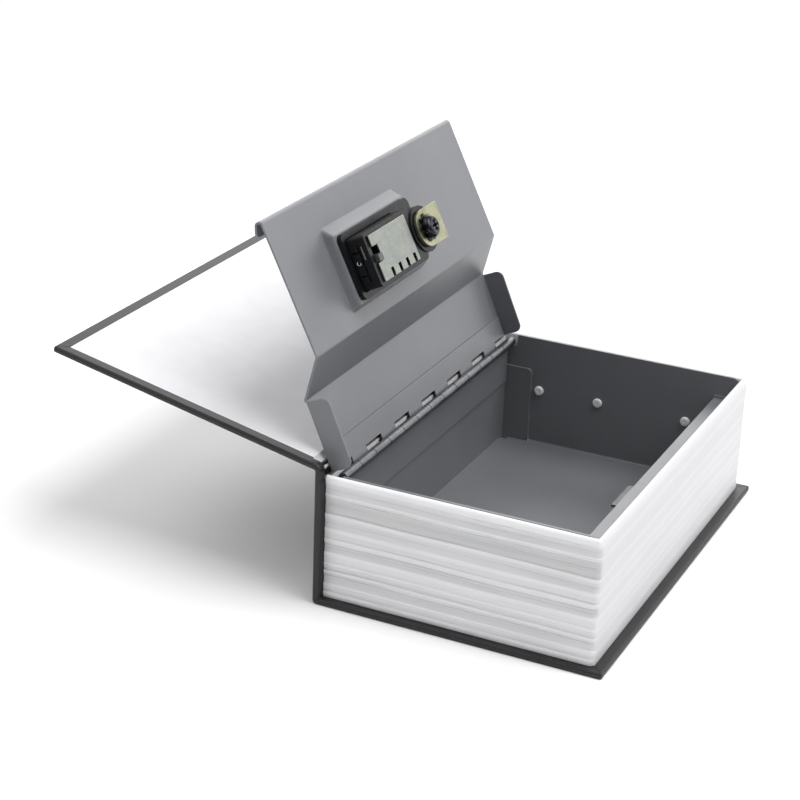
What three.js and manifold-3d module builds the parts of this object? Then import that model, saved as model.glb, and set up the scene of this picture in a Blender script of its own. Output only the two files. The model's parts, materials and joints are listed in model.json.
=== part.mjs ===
// A book diversion safe, standing open: a steel box with a folded lid inside the case of a hardback book.
// Units are millimetres. +X runs from the spine to the fore-edge, +Y from the tail of the book to its head,
// and +Z is up. The origin is the centre of the back cover's underside.

import * as THREE from 'three';
import { mergeVertices } from 'three/addons/utils/BufferGeometryUtils.js';
import Module from 'manifold-3d';

const wasm = await Module();
wasm.setup();

// The closed book
const book_length = 180;
const book_width = 116;
const book_thickness = 55;

// The bookbinder's case: greyboards in cloth, lined with paper
const cloth = 0.4;
const cover_board = 1.5;
const spine_board = 2.0;
const paper = 0.3;
const glue_line = 0.1;
const turn_in = 4.5;
const case_corner_radius = 1.6;
const spine_top_gap = 4.7;
const joint_width = 3.2;
const joint_cloth = 0.5;
const joint_bend_radius = 0.6;
const joint_end_width = 5.5;
const joint_end_bend_radius = 2;
const cover_open_deg = 168.2;

// The moulded block that looks like pages
const block_wall = 2.5;
const block_end_overhang = 3;
const block_fore_overhang = 4.6;
const block_top_gap = 0.2;
const block_corner_radius = 2;
const page_line_count = 13;
const page_line_depth = 0.4;
const page_line_width = 1.1;
const page_line_wander = 0.8;
const page_line_margin = 0.3;
const fore_line_depth = 0.2;
const fore_line_every = 3;

// The folded steel tray
const tray_sheet = 1.0;
const tray_clearance = 0.2;
const tray_floor_gap = 0.3;
const tray_spine_gap = 0.3;
const tray_wall_drop = 0.1;
const back_wall_drop = 0.6;
const wall_corner_radius = 3;
const hinge_notch_length = 4.6;
const hinge_notch_depth = 5.2;
const ledge_depth = 9.1;
const ledge_tab_rise = 1.1;
const ledge_tab_sheet = 0.8;
const end_tab_length = 12.2;
const end_tab_height = 34;
const end_tab_radius = 2;
const relief_size = 3;

// The push rivets that hold the block to the tray
const rivet_head_radius = 2.1;
const rivet_head_height = 1.1;
const rivet_shank_radius = 1.4;
const rivet_hole_radius = 1.7;
const rivet_grip_depth = 1.6;
const rivet_z = 28.4;
const end_rivet_x = [20.2, 47.4, 87];
const fore_rivet_y = 50;
const rivet_head_gap = 0.1;
const rivet_tip_gap = 0.3;

// The piano hinge
const barrel_radius = 2;
const leaf_sheet = 0.7;
const leaf_gap = 0.1;
const pin_radius = 1;
const pin_clearance = 0.3;
const knuckle_length = 12.4;
const knuckle_gap = 0.3;
const hinge_end_gap = 0.3;
const tray_leaf_width = 19;
const lid_leaf_width = 12.2;

// The folded steel lid, given as it lies closed: lengths of its panels and their slopes
const lid_sheet = 0.8;
const lid_start = 2.8;
const lid_top_gap = 0.1;
const lid_end_gap = 1.9;
const lid_fore_gap = 1.2;
const hinge_panel_length = 29.5;
const step_panel_length = 18.5;
const step_panel_deg = -37.5;
const lock_panel_deg = 2.9;
const lip_length = 11;
const lip_deg = 158;
const lip_corner_radius = 2.5;
const lid_bend_radius = 1.4;
const lid_tab_depth = 9.2;
const lid_tab_radius = 3;
const lid_open_deg = 113.8;
const lid_seat_gap = 0.3;

// The pressed pan in the lid that the lock sits in
const pan_depth = 4;
const pan_side_gap = 1.2;
const pan_end_gap = 1.25;
const pan_draft_hinge_side = 2;
const pan_draft_free_side = 3.7;
const pan_draft_length = 1;
const lock_edge_margin = 35.8;
const lock_y = -16.75;

// The combination lock, measured along the lid's lock panel and down from its middle surface
const face_width = 25.6;
const face_length = 57;
const face_proud = 1.5;
const face_skin = 1.3;
const face_corner_radius = 3;
const body_width = 21;
const body_length = 39.5;
const body_near_margin = 1.75;
const body_depth = 14.3;
const body_corner_radius = 1.5;
const body_fit = 0.3;
const knob_end_margin = 10.75;
const boss_radius = 9.4;
const boss_extra = 0.7;
const frame_margin = 0.8;
const frame_thick = 1.9;
const plate_sheet = 0.8;
const plate_width = 18.5;
const plate_near_margin = 2.5;
const plate_boss_gap = 2.1;
const plate_slot_width = 1.6;
const plate_slot_depth = 3.4;
const plate_slot_pitch = 6.4;
const plate_slot_count = 4;
const plate_slot_end_margin = 2.6;

// The dials, their code rings, axle, click spring and blocking bar
const dial_count = 3;
const dial_pitch = 6.7;
const dial_radius = 8;
const dial_width = 5.2;
const dial_digits = 10;
const dial_notch_depth = 0.6;
const dial_notch_deg = 4;
const dial_proud = 0.7;
const dial_clearance = 0.4;
const dials_offset_y = -5;
const ring_radius = 5;
const ring_gate_width = 2;
const ring_gate_depth = 1.2;
const ring_fit = 0.2;
const axle_radius = 1.5;
const axle_fit = 0.3;
const axle_seat = 1.6;
const spring_sheet = 0.4;
const spring_width = 4.6;
const spring_reach = 0.5;
const inner_seat = 1.2;
const inner_fit = 0.3;
const bar_size = 1.3;
const bar_gap = 1.1;

// The knob, its spindle, the cam that it turns and what holds the cam
const knob_skirt_radius = 8.2;
const knob_skirt_height = 2;
const knob_grip_width = 4.6;
const knob_grip_radius = 1.2;
const knob_height = 7.3;
const knob_gap = 0.3;
const knob_wall = 3.5;
const spindle_radius = 3.8;
const spindle_fit = 0.3;
const spindle_square = 5;
const spindle_stub = 2.6;
const cam_sheet = 1.2;
const cam_width = 15;
const cam_reach = 13.5;
const cam_gap = 0.3;
const cam_square_fit = 0.3;
const washer_radius = 5.8;
const washer_sheet = 0.6;
const washer_teeth = 12;
const washer_tooth = 0.8;
const stack_gap = 0.1;
const screw_head_radius = 4.5;
const screw_head_height = 2.9;
const screw_shank_radius = 1.2;
const screw_hole_radius = 1.5;
const screw_length = 6;
const cross_width = 1.1;
const cross_span = 4.6;
const cross_depth = 1.4;

// The reset lever and the strike that the cam hooks under
const lever_width = 3;
const lever_length = 3.4;
const lever_height = 4.6;
const lever_proud = 0.9;
const lever_travel = 3;
const lever_fit = 0.3;
const strike_sheet = 1;
const strike_width = 20;
const strike_clearance = 0.35;
const strike_overlap = 2;
const strike_foot_height = 14;
const strike_gap = 0.1;

const round_steps = 24;
const small_steps = 16;
const dome_steps = 4;
const arc_steps = 4;
const dial_arc_steps = 3;
const spill = 1;
const grid = 1e-4;

// Thicknesses and levels that follow from the sizes above
const cover_thick = cloth + glue_line + cover_board + glue_line + cloth;
const spine_thick = cloth + glue_line + spine_board + glue_line + cloth;
const spine_top = book_thickness - spine_top_gap;
const half_length = book_length / 2;
const block_bottom = cover_thick + glue_line;
const block_top = book_thickness - cover_thick - block_top_gap;
const block_end = half_length - block_end_overhang;
const block_fore = book_width - block_fore_overhang;
const block_spine = spine_thick + block_top_gap;

const tray_back = spine_thick + tray_spine_gap;
const tray_bottom = cover_thick + tray_floor_gap;
const tray_floor = tray_bottom + tray_sheet;
const tray_back_face = tray_back + tray_sheet;
const tray_fore = block_fore - block_wall - tray_clearance;
const tray_fore_face = tray_fore - tray_sheet;
const tray_end = block_end - block_wall - tray_clearance;
const tray_end_face = tray_end - tray_sheet;
const tray_top = block_top - tray_wall_drop;

const hinge_x = tray_back_face + leaf_gap + barrel_radius;
const lid_middle = barrel_radius + leaf_gap + lid_sheet / 2;
const hinge_z = block_top - lid_top_gap - lid_sheet / 2 - lid_middle;
const hinge_y_end = tray_end_face - tray_sheet - hinge_end_gap;
const knuckle_count = Math.floor((2 * hinge_y_end) / knuckle_length);
const hinge_y_start = hinge_y_end - knuckle_count * knuckle_length;
const back_wall_top = hinge_z - back_wall_drop;
const lid_half = tray_end_face - lid_end_gap;

const radians = THREE.MathUtils.degToRad;

// Corners of the lid's middle surface, from the hinge axis, as it lies closed
const lid_legs = [
  [hinge_panel_length, 0],
  [step_panel_length, step_panel_deg],
  [lock_panel_length(), lock_panel_deg],
  [lip_length, lip_deg],
];
const lid_corners = walk([lid_start, lid_middle], lid_legs);
const lock_panel_origin = lid_corners[2];

// Levels in the lock, up from the middle surface of the lock panel
const panel_outer = lid_sheet / 2;
const panel_inner = -lid_sheet / 2;
const pan_floor_low = panel_inner - pan_depth;
const pan_floor_high = pan_floor_low + lid_sheet;
const face_bottom = pan_floor_high + glue_line;
const face_top = panel_outer + face_proud;
const body_low = -body_depth;
const boss_low = body_low - boss_extra;
const plate_high = body_low - stack_gap;
const plate_low = plate_high - plate_sheet;
const dial_z = face_top + dial_proud - dial_radius;
const cam_high = boss_low - cam_gap;
const cam_low = cam_high - cam_sheet;
const washer_high = cam_low - stack_gap;
const washer_low = washer_high - washer_sheet;
const screw_high = washer_low - stack_gap;
const screw_low = screw_high - screw_head_height;

// Places in the lock, up the lock panel and along the book
const lock_u = lock_panel_length() - lock_edge_margin;
const pan_floor_width = face_width + 2 * pan_side_gap;
const pan_floor_length = face_length + 2 * pan_end_gap;
const body_y0 = lock_y - face_length / 2 + body_near_margin;
const body_y1 = body_y0 + body_length;
const plate_y0 = body_y0 + plate_near_margin;
const knob_y = lock_y + face_length / 2 - knob_end_margin;
const plate_y1 = knob_y - boss_radius - plate_boss_gap;
const dials_y = lock_y + dials_offset_y;
const dials_span = (dial_count - 1) * dial_pitch + dial_width;
const cavity_y0 = dials_y - dials_span / 2 - dial_clearance;
const cavity_y1 = dials_y + dials_span / 2 + dial_clearance;
const lever_u0 = lock_u - lever_width / 2;
const lever_y0 = plate_y0 + lever_fit;

// The catch: the closed lid's free edge lies on the ledge, and the turned cam reaches under the strike
const ledge_edge = tray_fore_face - ledge_depth;
const ledge_top = closed_height_at(ledge_edge, panel_inner) - lid_seat_gap;
const cam_tip = closed_point(lock_u + cam_reach, cam_high);
const strike_under = cam_tip.z + strike_clearance;
const strike_edge = cam_tip.x - strike_overlap;

// Helpers for points

function walk(start, legs) {
  const points = [start];
  for (const [length, slope_deg] of legs) {
    const [x, z] = points[points.length - 1];
    const slope = radians(slope_deg);
    points.push([x + length * Math.cos(slope), z + length * Math.sin(slope)]);
  }
  return points;
}

// The lock panel ends where the round bend into the lip stops short of the tray's fore wall
function lock_panel_length() {
  const slope = radians(lock_panel_deg);
  const setback = lid_bend_radius * Math.tan((radians(lip_deg) - slope) / 2);
  const bend_end = tray_fore_face - lid_fore_gap - hinge_x - lid_sheet / 2;
  const bend_start = bend_end - lid_bend_radius * (1 - Math.sin(slope));
  const start = lid_start + hinge_panel_length + step_panel_length * Math.cos(radians(step_panel_deg));
  return (bend_start - start) / Math.cos(slope) + setback;
}

function closed_point(u, height) {
  const slope = radians(lock_panel_deg);
  return {
    x: hinge_x + lock_panel_origin[0] + u * Math.cos(slope) - height * Math.sin(slope),
    z: hinge_z + lock_panel_origin[1] + u * Math.sin(slope) + height * Math.cos(slope),
  };
}

function closed_height_at(x, height) {
  const start = closed_point(0, height);
  return start.z + (x - start.x) * Math.tan(radians(lock_panel_deg));
}

function direction(from, to) {
  const length = Math.hypot(to[0] - from[0], to[1] - from[1]);
  return [(to[0] - from[0]) / length, (to[1] - from[1]) / length];
}

// A path through the corners, with each inner corner rounded
function rounded_path(corners, radius, steps = arc_steps) {
  const path = [corners[0]];
  for (let i = 1; i < corners.length - 1; i++) {
    const before = direction(corners[i - 1], corners[i]);
    const after = direction(corners[i], corners[i + 1]);
    const cross = before[0] * after[1] - before[1] * after[0];
    const turn = Math.atan2(cross, before[0] * after[0] + before[1] * after[1]);
    const side = Math.sign(turn);
    const back = radius * Math.tan(Math.abs(turn) / 2);
    const start = [corners[i][0] - before[0] * back, corners[i][1] - before[1] * back];
    const centre = [start[0] - before[1] * side * radius, start[1] + before[0] * side * radius];
    const first = Math.atan2(start[1] - centre[1], start[0] - centre[0]);
    for (let step = 0; step <= steps; step++) {
      const angle = first + (turn * step) / steps;
      path.push([centre[0] + radius * Math.cos(angle), centre[1] + radius * Math.sin(angle)]);
    }
  }
  path.push(corners[corners.length - 1]);
  return path;
}

// The outline of a sheet whose middle surface follows the path
function sheet_outline(path, thickness) {
  const left = [];
  const right = [];
  for (let i = 0; i < path.length; i++) {
    const before = direction(path[Math.max(i - 1, 0)], path[Math.max(i, 1)]);
    const last = path.length - 1;
    const after = direction(path[Math.min(i, last - 1)], path[Math.min(i + 1, last)]);
    const normal = direction([0, 0], [-(before[1] + after[1]), before[0] + after[0]]);
    const reach = thickness / 2 / (normal[1] * before[0] - normal[0] * before[1]);
    left.push([path[i][0] + normal[0] * reach, path[i][1] + normal[1] * reach]);
    right.unshift([path[i][0] - normal[0] * reach, path[i][1] - normal[1] * reach]);
  }
  return left.concat(right);
}

// Helpers for geometry

function shape_of(points) {
  return new THREE.Shape(points.map(([x, y]) => new THREE.Vector2(x, y)));
}

function extruded(shape, depth, steps = arc_steps) {
  return new THREE.ExtrudeGeometry(shape, { depth, bevelEnabled: false, curveSegments: steps });
}

function box(x0, x1, y0, y1, z0, z1) {
  const geometry = new THREE.BoxGeometry(x1 - x0, y1 - y0, z1 - z0);
  return geometry.translate((x0 + x1) / 2, (y0 + y1) / 2, (z0 + z1) / 2);
}

// A prism with its outline in the XZ plane
function prism_along_y(shape, y0, y1, steps = arc_steps) {
  return extruded(shape, y1 - y0, steps).rotateX(Math.PI / 2).translate(0, y1, 0);
}

// A prism with its outline in the YZ plane
function prism_along_x(shape, x0, x1, steps = arc_steps) {
  return extruded(shape, x1 - x0, steps).rotateX(Math.PI / 2).rotateZ(Math.PI / 2).translate(x0, 0, 0);
}

// A prism with its outline in the XY plane
function prism_along_z(shape, z0, z1, steps = arc_steps) {
  return extruded(shape, z1 - z0, steps).translate(0, 0, z0);
}

function rounded_rectangle(x0, x1, y0, y1, radius) {
  const shape = new THREE.Shape();
  shape.moveTo(x0 + radius, y0);
  shape.lineTo(x1 - radius, y0);
  shape.absarc(x1 - radius, y0 + radius, radius, -Math.PI / 2, 0);
  shape.lineTo(x1, y1 - radius);
  shape.absarc(x1 - radius, y1 - radius, radius, 0, Math.PI / 2);
  shape.lineTo(x0 + radius, y1);
  shape.absarc(x0 + radius, y1 - radius, radius, Math.PI / 2, Math.PI);
  shape.lineTo(x0, y0 + radius);
  shape.absarc(x0 + radius, y0 + radius, radius, Math.PI, 1.5 * Math.PI);
  return shape;
}

function rod_along_y(x, z, radius, y0, y1, steps = round_steps) {
  return new THREE.CylinderGeometry(radius, radius, y1 - y0, steps).translate(x, (y0 + y1) / 2, z);
}

function rod_along_x(y, z, radius, x0, x1, steps = round_steps) {
  const geometry = new THREE.CylinderGeometry(radius, radius, x1 - x0, steps).rotateZ(Math.PI / 2);
  return geometry.translate((x0 + x1) / 2, y, z);
}

function rod_along_z(x, y, radius, z0, z1, steps = round_steps) {
  const geometry = new THREE.CylinderGeometry(radius, radius, z1 - z0, steps).rotateX(Math.PI / 2);
  return geometry.translate(x, y, (z0 + z1) / 2);
}

// The same shape at the other end of the book
function mirrored(geometry) {
  const flipped = geometry.clone();
  const positions = flipped.attributes.position;
  for (let i = 0; i < positions.count; i++) {
    positions.setY(i, -positions.getY(i));
  }
  const index = flipped.index ?? { array: Uint32Array.from({ length: positions.count }, (_, i) => i) };
  flipped.setIndex(new THREE.BufferAttribute(Uint32Array.from(index.array).reverse(), 1));
  return flipped;
}

// A block with flat sides between two rectangles, each [x0, x1, y0, y1]
function frustum(low, z_low, high, z_high) {
  const corner = ([x0, x1, y0, y1], z) => [x0, y0, z, x1, y0, z, x1, y1, z, x0, y1, z];
  const geometry = new THREE.BufferGeometry();
  const positions = new Float32Array([...corner(low, z_low), ...corner(high, z_high)]);
  geometry.setAttribute('position', new THREE.BufferAttribute(positions, 3));
  const sides = [];
  for (let i = 0; i < 4; i++) {
    const next = (i + 1) % 4;
    sides.push(i, next, next + 4, i, next + 4, i + 4);
  }
  geometry.setIndex([0, 2, 1, 0, 3, 2, 4, 5, 6, 4, 6, 7, ...sides]);
  return geometry;
}

// Points are put on a fine grid, so that faces meant to be flush are exactly flush
function solid(geometry) {
  const plain = geometry.clone();
  plain.deleteAttribute('normal');
  plain.deleteAttribute('uv');
  const points = plain.attributes.position.array;
  points.forEach((value, i) => {
    points[i] = Math.round(value / grid) * grid;
  });
  const merged = mergeVertices(plain, grid / 2);
  return new wasm.Manifold(new wasm.Mesh({
    numProp: 3,
    vertProperties: new Float32Array(merged.attributes.position.array),
    triVerts: new Uint32Array(without_slivers(merged.index.array)),
  }));
}

// Triangles at the poles of turned shapes have two corners in one place, and are left out
function without_slivers(index) {
  const kept = [];
  for (let i = 0; i < index.length; i += 3) {
    const [a, b, c] = index.slice(i, i + 3);
    if (a !== b && b !== c && c !== a) {
      kept.push(a, b, c);
    }
  }
  return kept;
}

function geometry_of(manifold) {
  const mesh = manifold.getMesh();
  const geometry = new THREE.BufferGeometry();
  geometry.setAttribute('position', new THREE.BufferAttribute(new Float32Array(mesh.vertProperties), 3));
  geometry.setIndex(new THREE.BufferAttribute(new Uint32Array(mesh.triVerts), 1));
  geometry.computeVertexNormals();
  return geometry;
}

function join(...geometries) {
  const solids = geometries.map(solid);
  return geometry_of(solids.reduce((sum, next) => sum.add(next)));
}

function cut(base, ...tools) {
  const solids = tools.map(solid);
  return geometry_of(solids.reduce((rest, tool) => rest.subtract(tool), solid(base)));
}

function piece(parent, name, geometry, finish) {
  const mesh = new THREE.Mesh(geometry, new THREE.MeshStandardMaterial(finish));
  mesh.name = name;
  parent.add(mesh);
}

// Finishes
const case_cloth_finish = { color: 0x2f2f31, roughness: 0.75, metalness: 0 };
const board_finish = { color: 0x8a8478, roughness: 0.9, metalness: 0 };
const paper_finish = { color: 0xeeeef0, roughness: 0.85, metalness: 0 };
const block_finish = { color: 0xe8e8ea, roughness: 0.55, metalness: 0 };
const painted_steel_finish = { color: 0x8f9194, roughness: 0.5, metalness: 0.2 };
const dark_steel_finish = { color: 0x5c5d60, roughness: 0.5, metalness: 0.3 };
const hinge_finish = { color: 0x9b9da0, roughness: 0.35, metalness: 0.8 };
const white_plastic_finish = { color: 0xe4e4e6, roughness: 0.4, metalness: 0 };
const black_plastic_finish = { color: 0x141416, roughness: 0.4, metalness: 0 };
const zinc_finish = { color: 0xb4bbab, roughness: 0.35, metalness: 0.9 };
const black_steel_finish = { color: 0x1c1c20, roughness: 0.35, metalness: 0.8 };
const dial_finish = { color: 0xd8d8d4, roughness: 0.4, metalness: 0.4 };

const safe = new THREE.Group();
const book = new THREE.Group();
book.position.x = -book_width / 2;
safe.add(book);

const front_cover = new THREE.Group();
front_cover.position.z = book_thickness;
front_cover.rotation.y = -radians(cover_open_deg);
book.add(front_cover);

const lid = new THREE.Group();
lid.position.set(hinge_x, 0, hinge_z);
lid.rotation.y = -radians(lid_open_deg);
book.add(lid);

const lock = new THREE.Group();
lock.position.set(lock_panel_origin[0], 0, lock_panel_origin[1]);
lock.rotation.y = -radians(lock_panel_deg);
lid.add(lock);

// The case of the book

// Cloth round the back board and the spine, turned in over their ends
function back_and_spine_cloth() {
  const profile = new THREE.Shape();
  profile.moveTo(book_width, 0);
  profile.lineTo(book_width, cover_thick);
  profile.lineTo(spine_thick, cover_thick);
  profile.lineTo(spine_thick, spine_top);
  profile.lineTo(0, spine_top);
  profile.lineTo(0, case_corner_radius);
  profile.absarc(case_corner_radius, case_corner_radius, case_corner_radius, Math.PI, 1.5 * Math.PI);
  profile.lineTo(book_width, 0);
  const inside = half_length - cloth;
  const window = half_length - turn_in;
  const board_top = cover_thick - cloth;
  return cut(
    prism_along_y(profile, -half_length, half_length),
    box(spine_thick, book_width - cloth, -inside, inside, cloth, board_top),
    box(cloth, spine_thick - cloth, -inside, inside, case_corner_radius, spine_top + spill),
    box(spine_thick - spill, book_width - turn_in, -window, window, cloth, cover_thick + spill),
    box(cloth, spine_thick + spill, -window, window, cover_thick, spine_top + spill),
  );
}

function back_board() {
  const end = half_length - cloth - glue_line;
  const low = cloth + glue_line;
  const fore = book_width - cloth - glue_line;
  return box(spine_thick + glue_line, fore, -end, end, low, low + cover_board);
}

function spine_board_piece() {
  const end = half_length - cloth - glue_line;
  const outer = cloth + glue_line;
  return box(outer, outer + spine_board, -end, end, case_corner_radius + glue_line, spine_top - glue_line);
}

function back_endpaper() {
  const end = half_length - turn_in - glue_line;
  const low = cover_thick - cloth;
  const fore = book_width - turn_in - glue_line;
  return box(spine_thick + glue_line, fore, -end, end, low, low + paper);
}

function spine_lining() {
  const end = half_length - turn_in - glue_line;
  const outer = spine_thick - cloth;
  return box(outer, outer + paper, -end, end, cover_thick + glue_line, spine_top - glue_line);
}

// The front cover is drawn closed, down and out from the fold on its outer face
function front_cover_cloth() {
  const inside = half_length - cloth;
  const window = half_length - turn_in;
  const start = joint_width;
  return cut(
    box(start, book_width, -half_length, half_length, -cover_thick, 0),
    box(start - spill, book_width - cloth, -inside, inside, -cover_thick + cloth, -cloth),
    box(start - spill, book_width - turn_in, -window, window, -cover_thick - spill, -cloth),
  );
}

function front_board() {
  const end = half_length - cloth - glue_line;
  const high = -cloth - glue_line;
  return box(joint_width + glue_line, book_width - cloth - glue_line, -end, end, high - cover_board, high);
}

function front_endpaper() {
  const end = half_length - turn_in - glue_line;
  const high = -cover_thick + cloth;
  const fore = book_width - turn_in - glue_line;
  return box(joint_width + glue_line, fore, -end, end, high - paper, high);
}

// Outline of the case's joint from the top of the spine to the open cover's board, on the outer face's side
function joint_outline(thickness, bend_radius) {
  const slope = radians(cover_open_deg);
  const half = thickness / 2;
  const bend_z = book_thickness + (half * (1 - Math.sin(slope))) / -Math.cos(slope);
  const run = joint_width - glue_line;
  const end_x = run * Math.cos(slope) + half * Math.sin(slope);
  const end_z = book_thickness + run * Math.sin(slope) - half * Math.cos(slope);
  const corners = [[half, spine_top + glue_line], [half, bend_z], [end_x, end_z]];
  return shape_of(sheet_outline(rounded_path(corners, bend_radius), thickness));
}

// Bare cloth between the ends, and a thicker turned-in end at the tail and at the head
function cover_joint() {
  const end_start = half_length - joint_end_width;
  const thin = joint_outline(joint_cloth, joint_bend_radius);
  const thick = joint_outline(cover_thick, joint_end_bend_radius);
  return join(
    prism_along_y(thin, -half_length, half_length),
    prism_along_y(thick, -half_length, -end_start),
    prism_along_y(thick, end_start, half_length),
  );
}

piece(book, 'case_cloth', back_and_spine_cloth(), case_cloth_finish);
piece(book, 'back_board', back_board(), board_finish);
piece(book, 'spine_board', spine_board_piece(), board_finish);
piece(book, 'back_endpaper', back_endpaper(), paper_finish);
piece(book, 'spine_lining', spine_lining(), paper_finish);
piece(book, 'cover_joint', cover_joint(), case_cloth_finish);
piece(front_cover, 'front_cover_cloth', front_cover_cloth(), case_cloth_finish);
piece(front_cover, 'front_board', front_board(), board_finish);
piece(front_cover, 'front_endpaper', front_endpaper(), paper_finish);

// The page block

function block_plan() {
  const r = block_corner_radius;
  const inner_end = block_end - block_wall;
  const plan = new THREE.Shape();
  plan.moveTo(block_spine, -block_end);
  plan.lineTo(block_fore - r, -block_end);
  plan.absarc(block_fore - r, -block_end + r, r, -Math.PI / 2, 0);
  plan.lineTo(block_fore, block_end - r);
  plan.absarc(block_fore - r, block_end - r, r, 0, Math.PI / 2);
  plan.lineTo(block_spine, block_end);
  plan.lineTo(block_spine, inner_end);
  plan.lineTo(block_fore - block_wall, inner_end);
  plan.lineTo(block_fore - block_wall, -inner_end);
  plan.lineTo(block_spine, -inner_end);
  return plan;
}

// Heights of the grooves between the bundles of pages, unevenly spaced
function page_line_heights() {
  const pitch = (block_top - block_bottom) / (page_line_count + 1);
  const heights = [];
  for (let i = 1; i <= page_line_count; i++) {
    heights.push(block_bottom + pitch * i + page_line_wander * Math.sin(i * i));
  }
  return heights;
}

// A V whose sides go on past the face
function groove_outline(face, side, height, depth) {
  const half = (page_line_width / 2) * ((depth + spill) / depth);
  const outer = face + side * spill;
  return shape_of([[outer, height - half], [outer, height + half], [face - side * depth, height]]);
}

// Heads of the holes lie on the tray's outer faces
function rivet_sockets(radius, inset, depth) {
  const holes = [];
  for (const x of end_rivet_x) {
    holes.push(rod_along_y(x, rivet_z, radius, tray_end - inset, tray_end + depth, small_steps));
    holes.push(rod_along_y(x, rivet_z, radius, -tray_end - depth, -tray_end + inset, small_steps));
  }
  for (const side of [-1, 1]) {
    const y = side * fore_rivet_y;
    holes.push(rod_along_x(y, rivet_z, radius, tray_fore - inset, tray_fore + depth, small_steps));
  }
  return holes;
}

function page_block() {
  const corner = block_corner_radius + page_line_margin;
  const tools = rivet_sockets(rivet_hole_radius, tray_clearance, tray_clearance + rivet_grip_depth);
  page_line_heights().forEach((height, i) => {
    for (const side of [-1, 1]) {
      const outline = groove_outline(side * block_end, side, height, page_line_depth);
      tools.push(prism_along_x(outline, block_spine - spill, block_fore - corner));
    }
    if (i % fore_line_every === 0) {
      const end = block_end - corner;
      tools.push(prism_along_y(groove_outline(block_fore, 1, height, fore_line_depth), -end, end));
    }
  });
  return cut(prism_along_z(block_plan(), block_bottom, block_top), ...tools);
}

piece(book, 'page_block', page_block(), block_finish);

// The steel tray

// A wall at the tail or head, notched beside the hinge, with its fore corner rounded
function tray_end_wall(side) {
  const notch_x = tray_back_face + hinge_notch_length;
  const notch_z = tray_top - hinge_notch_depth;
  const wall = new THREE.Shape();
  wall.moveTo(tray_back, tray_bottom);
  wall.lineTo(tray_fore, tray_bottom);
  wall.lineTo(tray_fore, tray_top - wall_corner_radius);
  const r = wall_corner_radius;
  wall.absarc(tray_fore - r, tray_top - r, r, 0, Math.PI / 2);
  wall.lineTo(notch_x, tray_top);
  wall.lineTo(notch_x, notch_z);
  wall.lineTo(tray_back, notch_z);
  const [y0, y1] = side > 0 ? [tray_end_face, tray_end] : [-tray_end, -tray_end_face];
  return prism_along_y(wall, y0, y1);
}

// A tab of the back wall that lies on the inner face of an end wall
function tray_end_tab(side) {
  const x = tray_back_face + end_tab_length;
  const z = tray_floor + end_tab_height;
  const tab = new THREE.Shape();
  tab.moveTo(tray_back, tray_bottom);
  tab.lineTo(x, tray_bottom);
  tab.lineTo(x, z - end_tab_radius);
  tab.absarc(x - end_tab_radius, z - end_tab_radius, end_tab_radius, 0, Math.PI / 2);
  tab.lineTo(tray_back, z);
  const inner = tray_end_face - tray_sheet;
  const [y0, y1] = side > 0 ? [inner, tray_end] : [-tray_end, -inner];
  return prism_along_y(tab, y0, y1);
}

function tray_ledge_tab(side) {
  const inner = tray_end_face - ledge_tab_sheet;
  const [y0, y1] = side > 0 ? [inner, tray_end] : [-tray_end, -inner];
  return box(ledge_edge, tray_fore, y0, y1, ledge_top - tray_sheet, ledge_top + ledge_tab_rise);
}

// The cut at the corner of the blank where the floor meets two folds
function corner_relief(side) {
  const outer = tray_end_face - tray_sheet;
  const [y0, y1] = side > 0 ? [outer - relief_size, outer] : [-outer, -outer + relief_size];
  return box(tray_back_face, tray_back_face + relief_size, y0, y1, tray_bottom - spill, tray_floor + spill);
}

function steel_tray() {
  const shell = join(
    box(tray_back, tray_fore, -tray_end, tray_end, tray_bottom, tray_floor),
    box(tray_back, tray_back_face, -tray_end, tray_end, tray_bottom, back_wall_top),
    box(tray_fore_face, tray_fore, -tray_end, tray_end, tray_bottom, ledge_top),
    box(ledge_edge, tray_fore, -tray_end, tray_end, ledge_top - tray_sheet, ledge_top),
    ...[-1, 1].flatMap((side) => [tray_end_wall(side), tray_end_tab(side), tray_ledge_tab(side)]),
  );
  const holes = rivet_sockets(rivet_hole_radius, tray_sheet + spill, spill);
  return cut(shell, ...holes, corner_relief(-1), corner_relief(1));
}

// A rivet along +Y with the underside of its domed head at the origin
function rivet() {
  const length = rivet_head_gap + tray_sheet + tray_clearance + rivet_grip_depth - rivet_tip_gap;
  const profile = [];
  for (let step = 0; step <= dome_steps; step++) {
    const angle = (Math.PI / 2) * (step / dome_steps);
    const x = rivet_head_radius * Math.sin(angle);
    profile.push(new THREE.Vector2(x, -rivet_head_height * Math.cos(angle)));
  }
  profile.push(new THREE.Vector2(rivet_shank_radius, 0));
  profile.push(new THREE.Vector2(rivet_shank_radius, length));
  profile.push(new THREE.Vector2(0, length));
  return join(new THREE.LatheGeometry(profile, small_steps));
}

// An angle welded to the fore wall, whose tongue stands over the turned cam of the closed lid
function strike_bracket() {
  const wall = tray_fore_face - strike_gap;
  const y0 = knob_y - strike_width / 2;
  const y1 = knob_y + strike_width / 2;
  const high = strike_under + strike_sheet;
  return join(
    box(strike_edge, wall, y0, y1, strike_under, high),
    box(wall - strike_sheet, wall, y0, y1, high - strike_foot_height, high),
  );
}

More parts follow.
